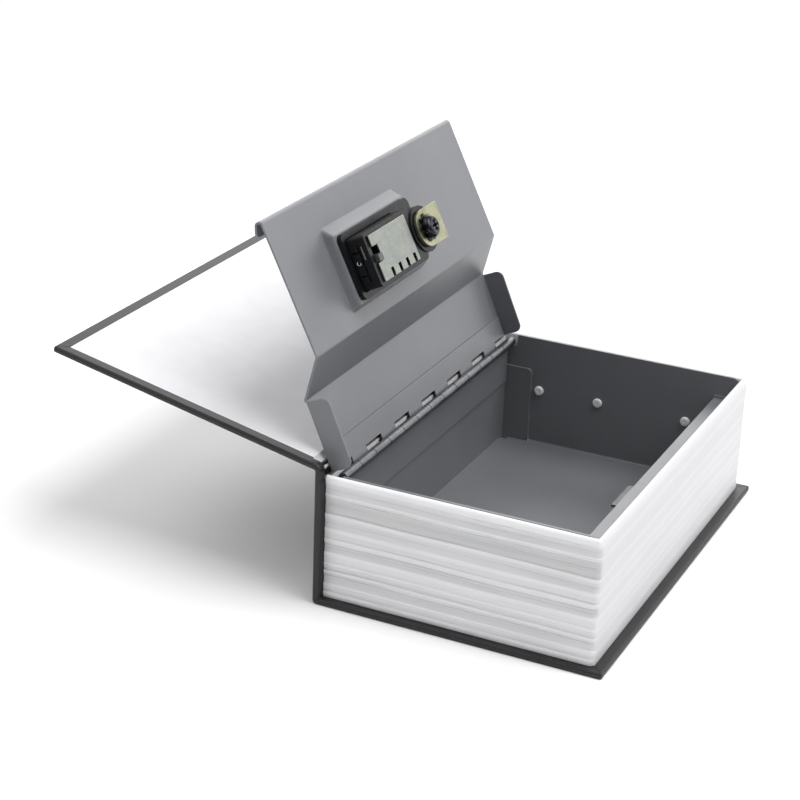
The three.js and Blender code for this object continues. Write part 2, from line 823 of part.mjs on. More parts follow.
piece(book, 'steel_tray', steel_tray(), painted_steel_finish);
piece(book, 'strike_bracket', strike_bracket(), dark_steel_finish);
end_rivet_x.forEach((x, i) => {
  const y = tray_end_face - rivet_head_gap;
  piece(book, `head_rivet_${i + 1}`, rivet().translate(x, y, rivet_z), white_plastic_finish);
  const turned = rivet().rotateZ(Math.PI).translate(x, -y, rivet_z);
  piece(book, `tail_rivet_${i + 1}`, turned, white_plastic_finish);
});
[-1, 1].forEach((side, i) => {
  const x = tray_fore_face - rivet_head_gap;
  const geometry = rivet().rotateZ(-Math.PI / 2).translate(x, side * fore_rivet_y, rivet_z);
  piece(book, `fore_rivet_${i + 1}`, geometry, white_plastic_finish);
});

// The piano hinge, drawn about its own axis

// A leaf takes every second knuckle, and is cut back round the other leaf's
function hinge_leaf(plate, first_own) {
  const own = [];
  const others = [];
  for (let i = 0; i < knuckle_count; i++) {
    const y0 = hinge_y_start + i * knuckle_length;
    const y1 = y0 + knuckle_length;
    if (i % 2 === first_own) {
      own.push(rod_along_y(0, 0, barrel_radius, y0 + knuckle_gap / 2, y1 - knuckle_gap / 2));
    } else {
      const reach = knuckle_gap / 2;
      others.push(rod_along_y(0, 0, barrel_radius + knuckle_gap, y0 - reach, y1 + reach));
    }
  }
  const bore_radius = pin_radius + pin_clearance;
  const bore = rod_along_y(0, 0, bore_radius, hinge_y_start - spill, hinge_y_end + spill, small_steps);
  return cut(join(cut(plate, ...others), ...own), bore);
}

function tray_hinge_leaf() {
  const inner = -barrel_radius + leaf_sheet;
  const y0 = hinge_y_start + knuckle_gap / 2;
  const y1 = hinge_y_end - knuckle_gap / 2;
  return hinge_leaf(box(-barrel_radius, inner, y0, y1, -tray_leaf_width, 0), 0);
}

function lid_hinge_leaf() {
  const inner = barrel_radius - leaf_sheet;
  const end = lid_half - lid_sheet - knuckle_gap;
  const y0 = Math.max(hinge_y_start + knuckle_gap / 2, -end);
  return hinge_leaf(box(0, lid_leaf_width, y0, end, inner, barrel_radius), 1);
}

piece(book, 'tray_hinge_leaf', tray_hinge_leaf().translate(hinge_x, 0, hinge_z), hinge_finish);
const pin = rod_along_y(hinge_x, hinge_z, pin_radius, hinge_y_start, hinge_y_end, small_steps);
piece(book, 'hinge_pin', pin, hinge_finish);
piece(lid, 'lid_hinge_leaf', lid_hinge_leaf(), hinge_finish);

// The folded lid

// A flange folded down from an end of the hinge panel, with its free corners rounded
function lid_tab(side) {
  const [x0] = lid_corners[0];
  const x1 = lid_corners[1][0] - lid_sheet;
  const low = lid_middle - lid_sheet / 2 - lid_tab_depth;
  const tab = new THREE.Shape();
  tab.moveTo(x1, lid_middle);
  tab.lineTo(x0, lid_middle);
  tab.lineTo(x0, low + lid_tab_radius);
  tab.absarc(x0 + lid_tab_radius, low + lid_tab_radius, lid_tab_radius, Math.PI, 1.5 * Math.PI);
  tab.lineTo(x1 - lid_tab_radius, low);
  tab.absarc(x1 - lid_tab_radius, low + lid_tab_radius, lid_tab_radius, 1.5 * Math.PI, 2 * Math.PI);
  const [y0, y1] = side > 0 ? [lid_half - lid_sheet, lid_half] : [-lid_half, -lid_half + lid_sheet];
  return prism_along_y(tab, y0, y1);
}

// What is taken off a corner of the lip to round it
function lip_corner(side) {
  const r = lip_corner_radius;
  const corner = new THREE.Shape();
  corner.moveTo(-r, lid_half);
  corner.absarc(-r, lid_half - r, r, Math.PI / 2, 0, true);
  corner.lineTo(spill, lid_half - r);
  corner.lineTo(spill, lid_half + spill);
  corner.lineTo(-r, lid_half + spill);
  const [x, z] = lid_corners[lid_corners.length - 1];
  const tool = prism_along_z(corner, -spill, spill).rotateY(-radians(lip_deg)).translate(x, 0, z);
  return side > 0 ? tool : mirrored(tool);
}

// Outline of the pressed pan at a height over its floor, in by so much
function pan_rectangle(height, inset) {
  const share = (height - pan_floor_low) / pan_depth;
  const half_width = pan_floor_width / 2 - inset;
  const half_run = pan_floor_length / 2 + pan_draft_length * share - inset;
  return [
    lock_u - half_width - pan_draft_hinge_side * share,
    lock_u + half_width + pan_draft_free_side * share,
    lock_y - half_run,
    lock_y + half_run,
  ];
}

function pan_outside() {
  return frustum(pan_rectangle(pan_floor_low, 0), pan_floor_low, pan_rectangle(0, 0), 0);
}

function pan_inside() {
  const high = panel_outer + spill;
  const low = pan_floor_high;
  return frustum(pan_rectangle(low, lid_sheet), low, pan_rectangle(high, lid_sheet), high);
}

// The lock body's outline, wider by a fit, between two levels
function body_outline(fit, low, high) {
  const half = body_width / 2 + fit;
  const u0 = lock_u - half;
  const plan = rounded_rectangle(u0, u0 + 2 * half, body_y0 - fit, body_y1 + fit, body_corner_radius);
  return [prism_along_z(plan, low, high), rod_along_z(lock_u, knob_y, boss_radius + fit, low, high)];
}

function on_lock_panel(geometry) {
  const [x, z] = lock_panel_origin;
  return geometry.rotateY(-radians(lock_panel_deg)).translate(x, 0, z);
}

function lid_panel() {
  const outline = shape_of(sheet_outline(rounded_path(lid_corners, lid_bend_radius), lid_sheet));
  const sheet = prism_along_y(outline, -lid_half, lid_half);
  const opening = body_outline(body_fit, pan_floor_low - spill, pan_floor_high + spill);
  return cut(
    join(sheet, lid_tab(-1), lid_tab(1), on_lock_panel(pan_outside())),
    on_lock_panel(pan_inside()),
    ...opening.map(on_lock_panel),
    lip_corner(-1),
    lip_corner(1),
  );
}

piece(lid, 'lid_panel', lid_panel(), painted_steel_finish);

// The combination lock

function dial_y(i) {
  return dials_y + (i - (dial_count - 1) / 2) * dial_pitch;
}

// Half the width of a dial where it passes a level, with room round it
function dial_opening(level) {
  return Math.sqrt(dial_radius ** 2 - (level - dial_z) ** 2) + dial_clearance;
}

// The click spring's section, wider by a fit, square to the line from the dials' axle
function spring_outline(fit) {
  const middle = dial_radius + spring_reach + spring_sheet / 2;
  const along = Math.SQRT1_2 * (spring_width / 2 + fit);
  const across = Math.SQRT1_2 * (spring_sheet / 2 + fit);
  const x = lock_u - Math.SQRT1_2 * middle;
  const z = dial_z - Math.SQRT1_2 * middle;
  return shape_of([
    [x + along + across, z - along + across],
    [x - along + across, z + along + across],
    [x - along - across, z + along - across],
    [x + along - across, z - along - across],
  ]);
}

function blocking_bar(fit) {
  const offset = Math.SQRT1_2 * (dial_radius + bar_gap);
  const x = lock_u + offset;
  const z = dial_z - offset;
  const end = inner_seat - inner_fit + fit;
  return box(x - fit, x + bar_size + fit, cavity_y0 - end, cavity_y1 + end, z - bar_size - fit, z + fit);
}

function click_spring(fit) {
  const end = inner_seat - inner_fit + fit;
  return prism_along_y(spring_outline(fit), cavity_y0 - end, cavity_y1 + end);
}

// A rounded plate outline about the middle of the lock
function plate_outline(width, length) {
  const u0 = lock_u - width / 2;
  const y0 = lock_y - length / 2;
  return rounded_rectangle(u0, u0 + width, y0, y0 + length, face_corner_radius);
}

function lock_housing() {
  const face = plate_outline(face_width, face_length);
  const middle = (face_bottom + face_top) / 2;
  const [body] = body_outline(0, body_low, middle);
  const boss = rod_along_z(lock_u, knob_y, boss_radius, boss_low, middle);
  const cavity = dial_radius + dial_clearance;
  const ceiling = face_top - face_skin;
  const window = dial_opening(ceiling);
  const windows = [];
  for (let i = 0; i < dial_count; i++) {
    const y0 = dial_y(i) - dial_width / 2 - ring_fit;
    const y1 = y0 + dial_width + 2 * ring_fit;
    windows.push(box(lock_u - window, lock_u + window, y0, y1, ceiling - spill, face_top + spill));
  }
  const axle_hole = axle_radius + axle_fit;
  const lever_high = plate_low - lever_proud + lever_height + lever_fit;
  return cut(
    join(prism_along_z(face, face_bottom, face_top), body, boss),
    box(lock_u - cavity, lock_u + cavity, cavity_y0, cavity_y1, body_low - spill, ceiling),
    ...windows,
    rod_along_y(lock_u, dial_z, axle_hole, cavity_y0 - axle_seat, cavity_y1 + axle_seat, small_steps),
    rod_along_z(lock_u, knob_y, spindle_radius + spindle_fit, boss_low - spill, face_top + spill),
    lever_slot(body_low - spill, lever_high),
    blocking_bar(inner_fit),
    click_spring(inner_fit),
  );
}

// Room for the reset lever and its travel between two levels
function lever_slot(low, high) {
  const u1 = lever_u0 + lever_width + lever_travel + lever_fit;
  const y0 = lever_y0 - lever_fit;
  return box(lever_u0 - lever_fit, u1, y0, y0 + lever_length + 2 * lever_fit, low, high);
}

function lock_frame() {
  const high = pan_floor_low - glue_line;
  const plan = plate_outline(pan_floor_width - 2 * frame_margin, pan_floor_length - 2 * frame_margin);
  const low = high - frame_thick;
  return cut(prism_along_z(plan, low, high), ...body_outline(body_fit, low - spill, high + spill));
}

function lock_back_plate() {
  const u0 = lock_u - plate_width / 2;
  const slots = [];
  for (let i = 0; i < plate_slot_count; i++) {
    const y1 = plate_y1 - plate_slot_end_margin - i * plate_slot_pitch;
    const y0 = y1 - plate_slot_width;
    slots.push(box(u0 - spill, u0 + plate_slot_depth, y0, y1, plate_low - spill, plate_high + spill));
  }
  return cut(
    box(u0, u0 + plate_width, plate_y0, plate_y1, plate_low, plate_high),
    ...slots,
    lever_slot(plate_low - spill, plate_high + spill),
  );
}

function circle_path(radius, steps) {
  const path = new THREE.Path();
  for (let i = 0; i < steps; i++) {
    const angle = (-2 * Math.PI * i) / steps;
    const x = radius * Math.cos(angle);
    const y = radius * Math.sin(angle);
    if (i === 0) {
      path.moveTo(x, y);
    } else {
      path.lineTo(x, y);
    }
  }
  path.closePath();
  return path;
}

// A numbered wheel, notched between its digits
function dial_wheel(i) {
  const pitch = (2 * Math.PI) / dial_digits;
  const edge = radians(dial_notch_deg);
  const points = [];
  for (let digit = 0; digit < dial_digits; digit++) {
    const notch = digit * pitch;
    points.push([dial_radius - dial_notch_depth, notch]);
    for (let step = 0; step <= dial_arc_steps; step++) {
      points.push([dial_radius, notch + edge + (step / dial_arc_steps) * (pitch - 2 * edge)]);
    }
  }
  const outline = points.map(([radius, angle]) => [radius * Math.cos(angle), radius * Math.sin(angle)]);
  const shape = shape_of(outline);
  shape.holes.push(circle_path(ring_radius + ring_fit, round_steps));
  const half = dial_width / 2;
  return prism_along_y(shape, dial_y(i) - half, dial_y(i) + half).translate(lock_u, 0, dial_z);
}

// The ring inside a wheel, with the gate that the blocking bar's follower drops into
function code_ring(i) {
  const y0 = dial_y(i) - dial_width / 2;
  const y1 = y0 + dial_width;
  const gate = ring_radius - ring_gate_depth;
  const half_gate = ring_gate_width / 2;
  return cut(
    rod_along_y(0, 0, ring_radius, y0, y1),
    rod_along_y(0, 0, axle_radius + axle_fit, y0 - spill, y1 + spill, small_steps),
    box(gate, ring_radius + spill, y0 - spill, y1 + spill, -half_gate, half_gate),
  ).translate(lock_u, 0, dial_z);
}

function reset_lever() {
  const low = plate_low - lever_proud;
  const y1 = lever_y0 + lever_length;
  return box(lever_u0, lever_u0 + lever_width, lever_y0, y1, low, low + lever_height);
}

piece(lock, 'lock_housing', lock_housing(), black_plastic_finish);
piece(lock, 'lock_frame', lock_frame(), black_plastic_finish);
piece(lock, 'lock_back_plate', lock_back_plate(), zinc_finish);
const axle_end = axle_seat - axle_fit;
const axle_y0 = cavity_y0 - axle_end;
const axle_y1 = cavity_y1 + axle_end;
const axle = rod_along_y(lock_u, dial_z, axle_radius, axle_y0, axle_y1, small_steps);
piece(lock, 'dial_axle', axle, zinc_finish);
piece(lock, 'blocking_bar', blocking_bar(0), zinc_finish);
piece(lock, 'click_spring', click_spring(0), zinc_finish);
piece(lock, 'reset_lever', reset_lever(), dark_steel_finish);
for (let i = 0; i < dial_count; i++) {
  piece(lock, `dial_wheel_${i + 1}`, dial_wheel(i), dial_finish);
  piece(lock, `code_ring_${i + 1}`, code_ring(i), zinc_finish);
}

// The knob, drawn about the spindle's axis and then moved to it

function at_knob(geometry) {
  return geometry.translate(lock_u, knob_y, 0);
}

function square_bar(width, low, high) {
  return box(-width / 2, width / 2, -width / 2, width / 2, low, high);
}

const knob_low = face_top + knob_gap;
const knob_high = knob_low + knob_height;
const socket_high = knob_high - knob_wall;

function lock_knob() {
  const half_run = knob_skirt_radius - glue_line;
  const half_width = knob_grip_width / 2;
  const grip = rounded_rectangle(-half_width, half_width, -half_run, half_run, knob_grip_radius);
  return at_knob(cut(
    join(
      rod_along_z(0, 0, knob_skirt_radius, knob_low, knob_low + knob_skirt_height),
      prism_along_z(grip, knob_low + glue_line, knob_high),
    ),
    square_bar(spindle_stub + 2 * glue_line, knob_low - spill, socket_high),
  ));
}

function knob_spindle() {
  const hole_end = screw_high + screw_length + glue_line;
  return at_knob(cut(
    join(
      rod_along_z(0, 0, spindle_radius, boss_low, face_top),
      square_bar(spindle_stub, face_top - spill, socket_high - glue_line),
      square_bar(spindle_square, cam_low + stack_gap, boss_low + spill),
    ),
    rod_along_z(0, 0, screw_hole_radius, cam_low - spill, hole_end, small_steps),
  ));
}

// Flat bar with a half-round end about the spindle and a square tip
function cam() {
  const half = cam_width / 2;
  const plan = new THREE.Shape();
  plan.moveTo(half, cam_reach);
  plan.lineTo(-half, cam_reach);
  plan.lineTo(-half, 0);
  plan.absarc(0, 0, half, Math.PI, 2 * Math.PI);
  const hole = square_bar(spindle_square + 2 * cam_square_fit, cam_low - spill, cam_high + spill);
  return at_knob(cut(prism_along_z(plan, cam_low, cam_high, dome_steps * 2), hole));
}

function star_washer() {
  const points = [];
  for (let i = 0; i < 2 * washer_teeth; i++) {
    const angle = (Math.PI * i) / washer_teeth;
    const radius = i % 2 === 0 ? washer_radius : washer_radius - washer_tooth;
    points.push([radius * Math.cos(angle), radius * Math.sin(angle)]);
  }
  const shape = shape_of(points);
  shape.holes.push(circle_path(screw_hole_radius, small_steps));
  return at_knob(prism_along_z(shape, washer_low, washer_high));
}

// A pan head with a cross recess, pointing down, and its shank
function cam_screw() {
  const profile = [];
  for (let step = 0; step <= dome_steps; step++) {
    const angle = (Math.PI / 2) * (step / dome_steps);
    const height = screw_high - screw_head_height * Math.cos(angle);
    profile.push(new THREE.Vector2(screw_head_radius * Math.sin(angle), height));
  }
  profile.push(new THREE.Vector2(screw_shank_radius, screw_high));
  profile.push(new THREE.Vector2(screw_shank_radius, screw_high + screw_length));
  profile.push(new THREE.Vector2(0, screw_high + screw_length));
  const body = new THREE.LatheGeometry(profile, round_steps).rotateX(Math.PI / 2);
  const half = cross_width / 2;
  const span = cross_span / 2;
  const floor = screw_low + cross_depth;
  return at_knob(cut(
    body,
    box(-half, half, -span, span, screw_low - spill, floor),
    box(-span, span, -half, half, screw_low - spill, floor),
  ));
}

piece(lock, 'lock_knob', lock_knob(), black_plastic_finish);
piece(lock, 'knob_spindle', knob_spindle(), zinc_finish);
piece(lock, 'cam', cam(), zinc_finish);
piece(lock, 'star_washer', star_washer(), black_steel_finish);
piece(lock, 'cam_screw', cam_screw(), black_steel_finish);

export default safe;
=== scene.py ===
import json
import math
from functools import partial

import bmesh
import bpy
from mathutils import Matrix, Vector, noise


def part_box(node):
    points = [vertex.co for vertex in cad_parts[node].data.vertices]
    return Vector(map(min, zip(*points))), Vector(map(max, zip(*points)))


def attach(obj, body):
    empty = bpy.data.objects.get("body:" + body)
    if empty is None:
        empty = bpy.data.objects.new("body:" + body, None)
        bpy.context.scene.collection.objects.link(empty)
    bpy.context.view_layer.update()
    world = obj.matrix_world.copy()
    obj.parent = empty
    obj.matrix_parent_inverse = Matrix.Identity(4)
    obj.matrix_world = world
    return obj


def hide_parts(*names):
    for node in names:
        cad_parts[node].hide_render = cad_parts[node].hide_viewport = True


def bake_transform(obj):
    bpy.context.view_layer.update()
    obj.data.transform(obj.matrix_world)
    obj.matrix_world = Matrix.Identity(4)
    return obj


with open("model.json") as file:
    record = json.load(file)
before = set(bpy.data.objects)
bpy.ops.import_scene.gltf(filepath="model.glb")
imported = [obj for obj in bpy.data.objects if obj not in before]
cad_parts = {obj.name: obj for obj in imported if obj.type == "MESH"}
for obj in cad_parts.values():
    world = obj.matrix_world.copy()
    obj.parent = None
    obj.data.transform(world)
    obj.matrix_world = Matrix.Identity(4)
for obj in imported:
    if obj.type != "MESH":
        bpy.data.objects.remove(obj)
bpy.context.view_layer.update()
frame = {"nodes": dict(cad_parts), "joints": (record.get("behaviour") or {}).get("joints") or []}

bl_info = {
    "name": "Book Diversion Safe",
    "version": (1, 0, 0),
    "blender": (4, 5, 0),
    "location": "3D View > Sidebar > Book Safe",
    "description": "Dresses a book diversion safe: its case, page block, steel box, lid and combination lock",
    "category": "Object",
}

MM = 0.001

# Places taken from the frame
JOINTS = {joint["name"]: joint for joint in frame["joints"]}
SPINE = Matrix.Translation((JOINTS["cover_hinge"]["pos_m"][0], 0, 0))
COVER_TURN = math.radians(JOINTS["cover_hinge"]["range_deg"][1])
COVER = Matrix.Translation(JOINTS["cover_hinge"]["pos_m"]) @ Matrix.Rotation(-COVER_TURN, 4, "Y")
LID_AXIS = Vector(JOINTS["lid_hinge"]["pos_m"])
LID_TURN = math.radians(JOINTS["lid_hinge"]["range_deg"][1])
HINGE = Matrix.Translation(LID_AXIS)
LID = HINGE @ Matrix.Rotation(-LID_TURN, 4, "Y")


def axes_at(place, *directions):
    """Axes along three directions from a place."""
    return Matrix.Translation(place) @ Matrix(directions).transposed().to_4x4()


def lock_axes():
    """The lock's own axes: x towards the lid's free edge, z out of the lid, origin on its centre line."""
    across = Vector(JOINTS["lever_slide"]["axis"])
    out = -Vector(JOINTS["knob_turn"]["axis"])
    place = Vector(JOINTS["knob_turn"]["pos_m"])
    place.y = 0
    return axes_at(place, across, out.cross(across), out)


LOCK = lock_axes()

# The case, in mm
BOOK_LENGTH = 180
BOOK_WIDTH = 116
BOOK_THICK = 55
SPINE_TOP = 50.3
COVER_THICK = 2.5
COVER_EDGE_RADIUS = 0.85
HEM_STEPS = 4
PAPER_EDGE_RADIUS = 0.06
MITRE_START = 0.2
MITRE_END = 6.4
MITRE_HALF = 0.15
MITRE_DEPTH = 0.22

# The joint between spine and front cover, in mm, and where it starts and stops bending, in m
JOINT_WIDTH = 3.2
JOINT_CLOTH = 0.5
JOINT_BEND_RADIUS = 0.6
JOINT_END_WIDTH = 4.0
JOINT_END_RADIUS = 2.0
JOINT_END_RISE = (1.2, 0.4)
JOINT_GAP = 0.02
JOINT_STEPS = 10
JOINT_STATION = 2.5

# The endpaper's end inside the joint, in mm: points from the open cover's fold, then in the spine's axes
PAPER_THICK = 0.2
PAPER_HALF = 85.6
PAPER_ON_COVER = ((3.3, -2.25), (2.2, -1.2))
PAPER_IN_JOINT = ((0.9, 54.0), (0.75, 53.2))
PAPER_BEND_RADIUS = 0.3
PAPER_STATION = 4.0

# The page block, in mm
BLOCK_SPINE = 3.2
BLOCK_FORE = 111.4
BLOCK_END = 87
BLOCK_BOTTOM = 2.6
BLOCK_TOP = 52.3
BLOCK_WALL = 2.5
BLOCK_CORNER = 2.0
BLOCK_INNER_CORNER = 0.5
BLOCK_END_STEP = 1.6
BLOCK_FORE_STEP = 3.0
CORNER_STEPS = 8
RIM_OUTSIDE = (1.3, 2.3)
RIM_INSIDE = 0.9
RIM_STEPS = 6

# Bundles of pages, from the top: how far below the block's top each begins, how far it stands out of the one
# above and how deep the crevice between them is, the last two as shares of the page relief
BUNDLES = (
    (6.6, 0.85, 0.0), (14.8, 1.0, 0.8), (20.5, 0.8, 0.0), (24.9, 0.6, 0.8), (30.3, 0.9, 0.0),
    (34.7, 0.4, 0.5), (38.2, 0.75, 0.9), (43.7, 0.9, 0.0), (47.3, 0.45, 0.5),
)
BUNDLE_EDGE = 0.7
BUNDLE_SHOULDER = ((0.0, 1.0), (0.35, 0.66), (0.7, 0.22), (1.0, 0.0))
BUNDLE_LEAN = 1.9
FOOT_HEIGHT = 0.35
FOOT_RELIEF = 0.3
FORE_RELIEF = 0.07
# Share of painted shade laid evenly over faces where the page relief is low, such as the fore face
LOW_RELIEF_SHADE = 1.0

# Fine lines in a bundle: margins above and below, half width, then mean and spread of their pitch and depth
LINE_MARGINS = (0.6, 0.95)
FINE_LINE = 0.16
LINE_PITCH = (0.85, 0.4)
LINE_DEPTH = (0.16, 0.14)
LINE_WANDER = 0.5

# The tray and its rivets, in mm, and the direction into the tray from the wall that a rivet is named after
TRAY_FOLD = 0.9
TRAY_FLOOR_Z = 3.8
FOLD_LENGTH = 25
RIVET_HEAD = 1.1
RIVET_RADIUS = 2.1
RIVET_EDGE = 0.7
RIVET_SHANK = 1.4
RIVET_LENGTH = 2.3
RIVET_TIP = 0.25
RIVET_DIMPLE = ((0.0, -0.15), (0.4, -0.12), (0.5, 0.0))
RIVET_WALLS = {"head": (0, -1, 0), "tail": (0, 1, 0), "fore": (-1, 0, 0)}

# The folded lid, in mm: lengths of its panels and their slopes. It starts further from the hinge's axis than
# the solid, so that its lit edge doesn't show through the slots between the knuckles.
LID_SHEET = 0.8
LID_MIDDLE = 2.5
LID_START = 3.7
LID_LEGS = ((28.6, 0), (18.5, -37.5), (57.8009, 2.9), (11, 158))
LID_HALF = 81.4
LID_BEND_RADIUS = 1.4
LID_STATION = 9.0
LID_TAB_STATIONS = (5.8, 14, 22)
LID_TAB_END = 31.5
LID_TAB_DEPTH = 9.2
LID_TAB_RADIUS = 3.0
LID_TAB_BEND = 1.0
LIP_CORNER_RADIUS = 2.5
LIP_CORNER_STATION = 0.7
LOCK_U = 22.00087
PAN_DEPTH = 4.0
PAN_FLOOR = (28.0, 59.5)
PAN_CENTRE_Y = -16.75
PAN_DRAFTS = (2.0, 3.9, 1.0)
PAN_INSET = 0.3
PAN_FILLET = 0.38

# The hinge, in mm, about its own axis. Its slots reach further than the solid's, so that they look dark.
BARREL_RADIUS = 2.0
LEAF_SHEET = 0.7
LEAF_EDGE = 0.2
LEAF_STEPS = 20
LEAF_BARE = 0.15
TRAY_LEAF = 19
LID_LEAF = 12.2
KNUCKLE = 12.4
KNUCKLE_GAP = 0.3
KNUCKLE_WRAP_DEG = 292
SLOT_REACH = 3.9
PIN_RADIUS = 1.0
PIN_EDGE = 0.2

# The lock, in mm, in its own axes
BODY_WIDTH = 21
BODY_Y = (-43.5, -4.0)
BODY_FIT = 0.3
BODY_CORNER = 1.8
BOSS_RADIUS = 9.4
KNOB_Y = 1.0
CUT_LEVELS = (-8, -1)
END_SLOTS = ((-7.5, 7.5, -10.9, -10.3), (-5.0, -4.3, -10.4, -7.2), (4.3, 5.0, -10.4, -7.2))
CURL = (0.6, -8.6, 0.8)
CURL_WIRE = 0.17
SLIVER_X = (1.2, 6.4)
SLIVER_LEVELS = (-12.4, -11.9)
PLATE_SLOT_X = (-12, -5.8)
PLATE_SLOT_Y = -13.9
PLATE_SLOT_PITCH = 6.4
PLATE_SLOT_HALF = 1.15
PLATE_SLOT_LEVELS = (-16, -14)
SLOT_CORNER = 0.2
WASHER_RINGS = ((1.9, 0.0), (4.5, 0.0), (5.8, 1.0))
WASHER_TEETH = 9
WASHER_LOBE = 1.0
TOOTH_STEPS = 8
SCREW_RADIUS = 4.5
SCREW_CROWN = 1.6
SCREW_HEAD = 2.9
SCREW_SHANK = 1.2
SCREW_LOW = -20.2
CROSS_WIDTH = 1.1
CROSS_SPAN = 4.6
CROSS_DEPTH = 1.4

# The dials, in mm, and the corners of one land as degrees from its middle and radii
DIAL_WIDTH = 5.2
DIAL_HOLE = 5.2
DIAL_DIGITS = 10
DIAL_SHOULDER = (0.3, 0.35)
LAND_HEIGHT = 7.72
LAND = ((-18, 7.35), (-14.5, 7.97), (-7, 7.78), (0, 7.72), (7, 7.78), (14.5, 7.97))
DIGIT_SCALE = 1.35
DIGIT_RELIEF = 0.05
DIGIT_LIFT = 0.02

# Softboxes by the name of their setting: size and place in m. They face a point above the origin.
SOFTBOXES = {
    "back": ((1.4, 1.0), (-0.3, 1.25, 0.65)),
    "low": ((1.0, 0.8), (1.0, 1.4, 0.42)),
    "key": ((1.4, 1.4), (0.7, 0.1, 1.4)),
    "fill": ((1.2, 1.2), (-0.85, -0.6, 1.0)),
    "side": ((1.2, 1.2), (-1.2, 0.3, 0.9)),
}
SOFTBOX_AIM = (0, 0, 0.06)

# The floor: half its size in mm, and between which distances in m it fades for the camera
FLOOR_HALF = 10000
FLOOR_FADE = (0.45, 1.1)

# The camera: focal length and sensor in mm, place in m, and yaw, pitch down and roll in radians
CAMERA_LENS = 93.476
CAMERA_SENSOR = 36
CAMERA_PLACE = (0.257446, -0.702872, 0.376103)
CAMERA_TURN = (-0.431415, 0.400631, 0.038677)

# Sockets of a colour Mix node, whose names repeat
MIX_A = 6
MIX_B = 7

# Faces above this size in square mm are flat, so they are shaded flat
FLAT_AREA = 150

# Corners this close in mm lie on a line
NEAR = 0.01


def linear(code):
    """An sRGB hex colour such as "#2F2F31" as linear red, green, blue and alpha."""
    channels = [int(code[i:i + 2], 16) / 255 for i in (1, 3, 5)]
    return tuple(c / 12.92 if c <= 0.04045 else ((c + 0.055) / 1.055) ** 2.4 for c in channels) + (1.0,)


# Settings that a user would change


def colour(name, description, code):
    return bpy.props.FloatVectorProperty(
        name=name, description=description, subtype="COLOR", size=4, min=0, max=1, default=linear(code)
    )


def length(name, description, millimetres):
    return bpy.props.FloatProperty(
        name=name, description=description, unit="LENGTH", min=0, precision=5, default=millimetres * MM
    )


def power(name, description, watts):
    return bpy.props.FloatProperty(name=name, description=description, unit="POWER", min=0, default=watts)


class SafeColours(bpy.types.PropertyGroup):
    covering: colour("Covering", "Colour of the leatherette on the covers and the spine", "#131315")
    endpaper: colour("Endpaper", "Colour of the paper inside the covers", "#E3E3E6")
    block: colour("Page block", "Colour of the moulded page block", "#EEEEF0")
    paint: colour("Paint", "Colour of the powder coat on the box and the lid", "#727377")
    plastic: colour("Lock plastic", "Colour of the lock's housing and dials", "#131416")
    plate: colour("Zinc plate", "Colour of the plated steel in the lock", "#838687")
    digits: colour("Digits", "Colour of the paint in the dials' numbers", "#F0F0EC")


class SafeSizes(bpy.types.PropertyGroup):
    page_relief: length("Page relief", "How far a bundle of pages stands out of the next", 0.5)
    grain: length("Covering grain", "Width of one pebble of the leatherette", 0.7)
    orange_peel: length("Paint texture", "Width of one bump of the powder coat", 1.1)
    steel_edge: length("Steel edge", "Radius of the sheared edges of the sheet steel", 0.12)
    digit_height: length("Digit height", "Height of the numbers on the dials", 3.3)


class SafeStage(bpy.types.PropertyGroup):
    back_light: power("Back light", "Power of the softbox behind the safe", 13)
    low_light: power("Low light", "Power of the low softbox behind the lock's side", 4.7)
    key_light: power("Key light", "Power of the softbox above and to the right", 27.5)
    fill_light: power("Fill light", "Power of the softbox at the front left", 8)
    side_light: power("Side light", "Power of the softbox on the left", 3.3)
    room_light: bpy.props.FloatProperty(
        name="Room light", description="Strength of the even light from all round", min=0, max=1, default=0.15
    )
    floor: colour("Floor", "Colour of the floor", "#FAFAFA")


def colours():
    return bpy.context.scene.safe_colours


def sizes():
    return bpy.context.scene.safe_sizes


# Materials


def add_node(tree, kind, inputs=None, stops=(), **settings):
    """Adds one node. Inputs maps a socket to a value, or to the socket or the node that feeds it."""
    made = tree.nodes.new("ShaderNode" + kind)
    for name, value in settings.items():
        setattr(made, name, value)
    for key, value in (inputs or {}).items():
        if isinstance(value, bpy.types.Node):
            value = next(socket for socket in value.outputs if socket.enabled)
        if isinstance(value, bpy.types.NodeSocket):
            tree.links.new(value, made.inputs[key])
        else:
            made.inputs[key].default_value = value
    if stops:
        ramp = made.color_ramp
        while len(ramp.elements) < len(stops):
            ramp.elements.new(0.5)
        for element, (place, tone) in zip(ramp.elements, stops):
            element.position = place
            element.color = tone
    return made


def empty_tree(owner):
    """Clears the node tree of a material or a world, and gives the function that adds nodes to it."""
    owner.use_nodes = True
    owner.node_tree.nodes.clear()
    return partial(add_node, owner.node_tree)


def coat_of(maker):
    """The material that a function fills with nodes, made only once and named after that function."""
    material = bpy.data.materials.get(maker.__name__)
    if material is None:
        material = bpy.data.materials.new(maker.__name__)
        add = empty_tree(material)
        maker(add, add("TexCoord").outputs["Object"])
    return material


def grey(value):
    return (value, value, value, 1.0)


def shade(rgb, factor):
    """The same colour, lighter or darker."""
    return tuple(min(1.0, c * factor) for c in rgb[:3]) + (1.0,)


def wide(millimetres):
    """A texture scale at which one feature is so many mm wide."""
    return 1 / (millimetres * MM)


def mottle(add, place, size, low, high, detail=3.0):
    """A colour that drifts between two others over patches of a size in mm."""
    spots = add("TexNoise", {"Vector": place, "Scale": wide(size), "Detail": detail})
    return add("ValToRGB", {"Fac": spots}, [(0.3, low), (0.7, high)])


def veiled(add, tint, cover, *stops):
    """A tint that a texture darkens, from its values and the shares of light that they leave."""
    veil = add("ValToRGB", {"Fac": cover}, [(value, grey(share)) for value, share in stops])
    return add("Mix", {0: 1.0, MIX_A: tint, MIX_B: veil}, data_type="RGBA", blend_type="MULTIPLY")


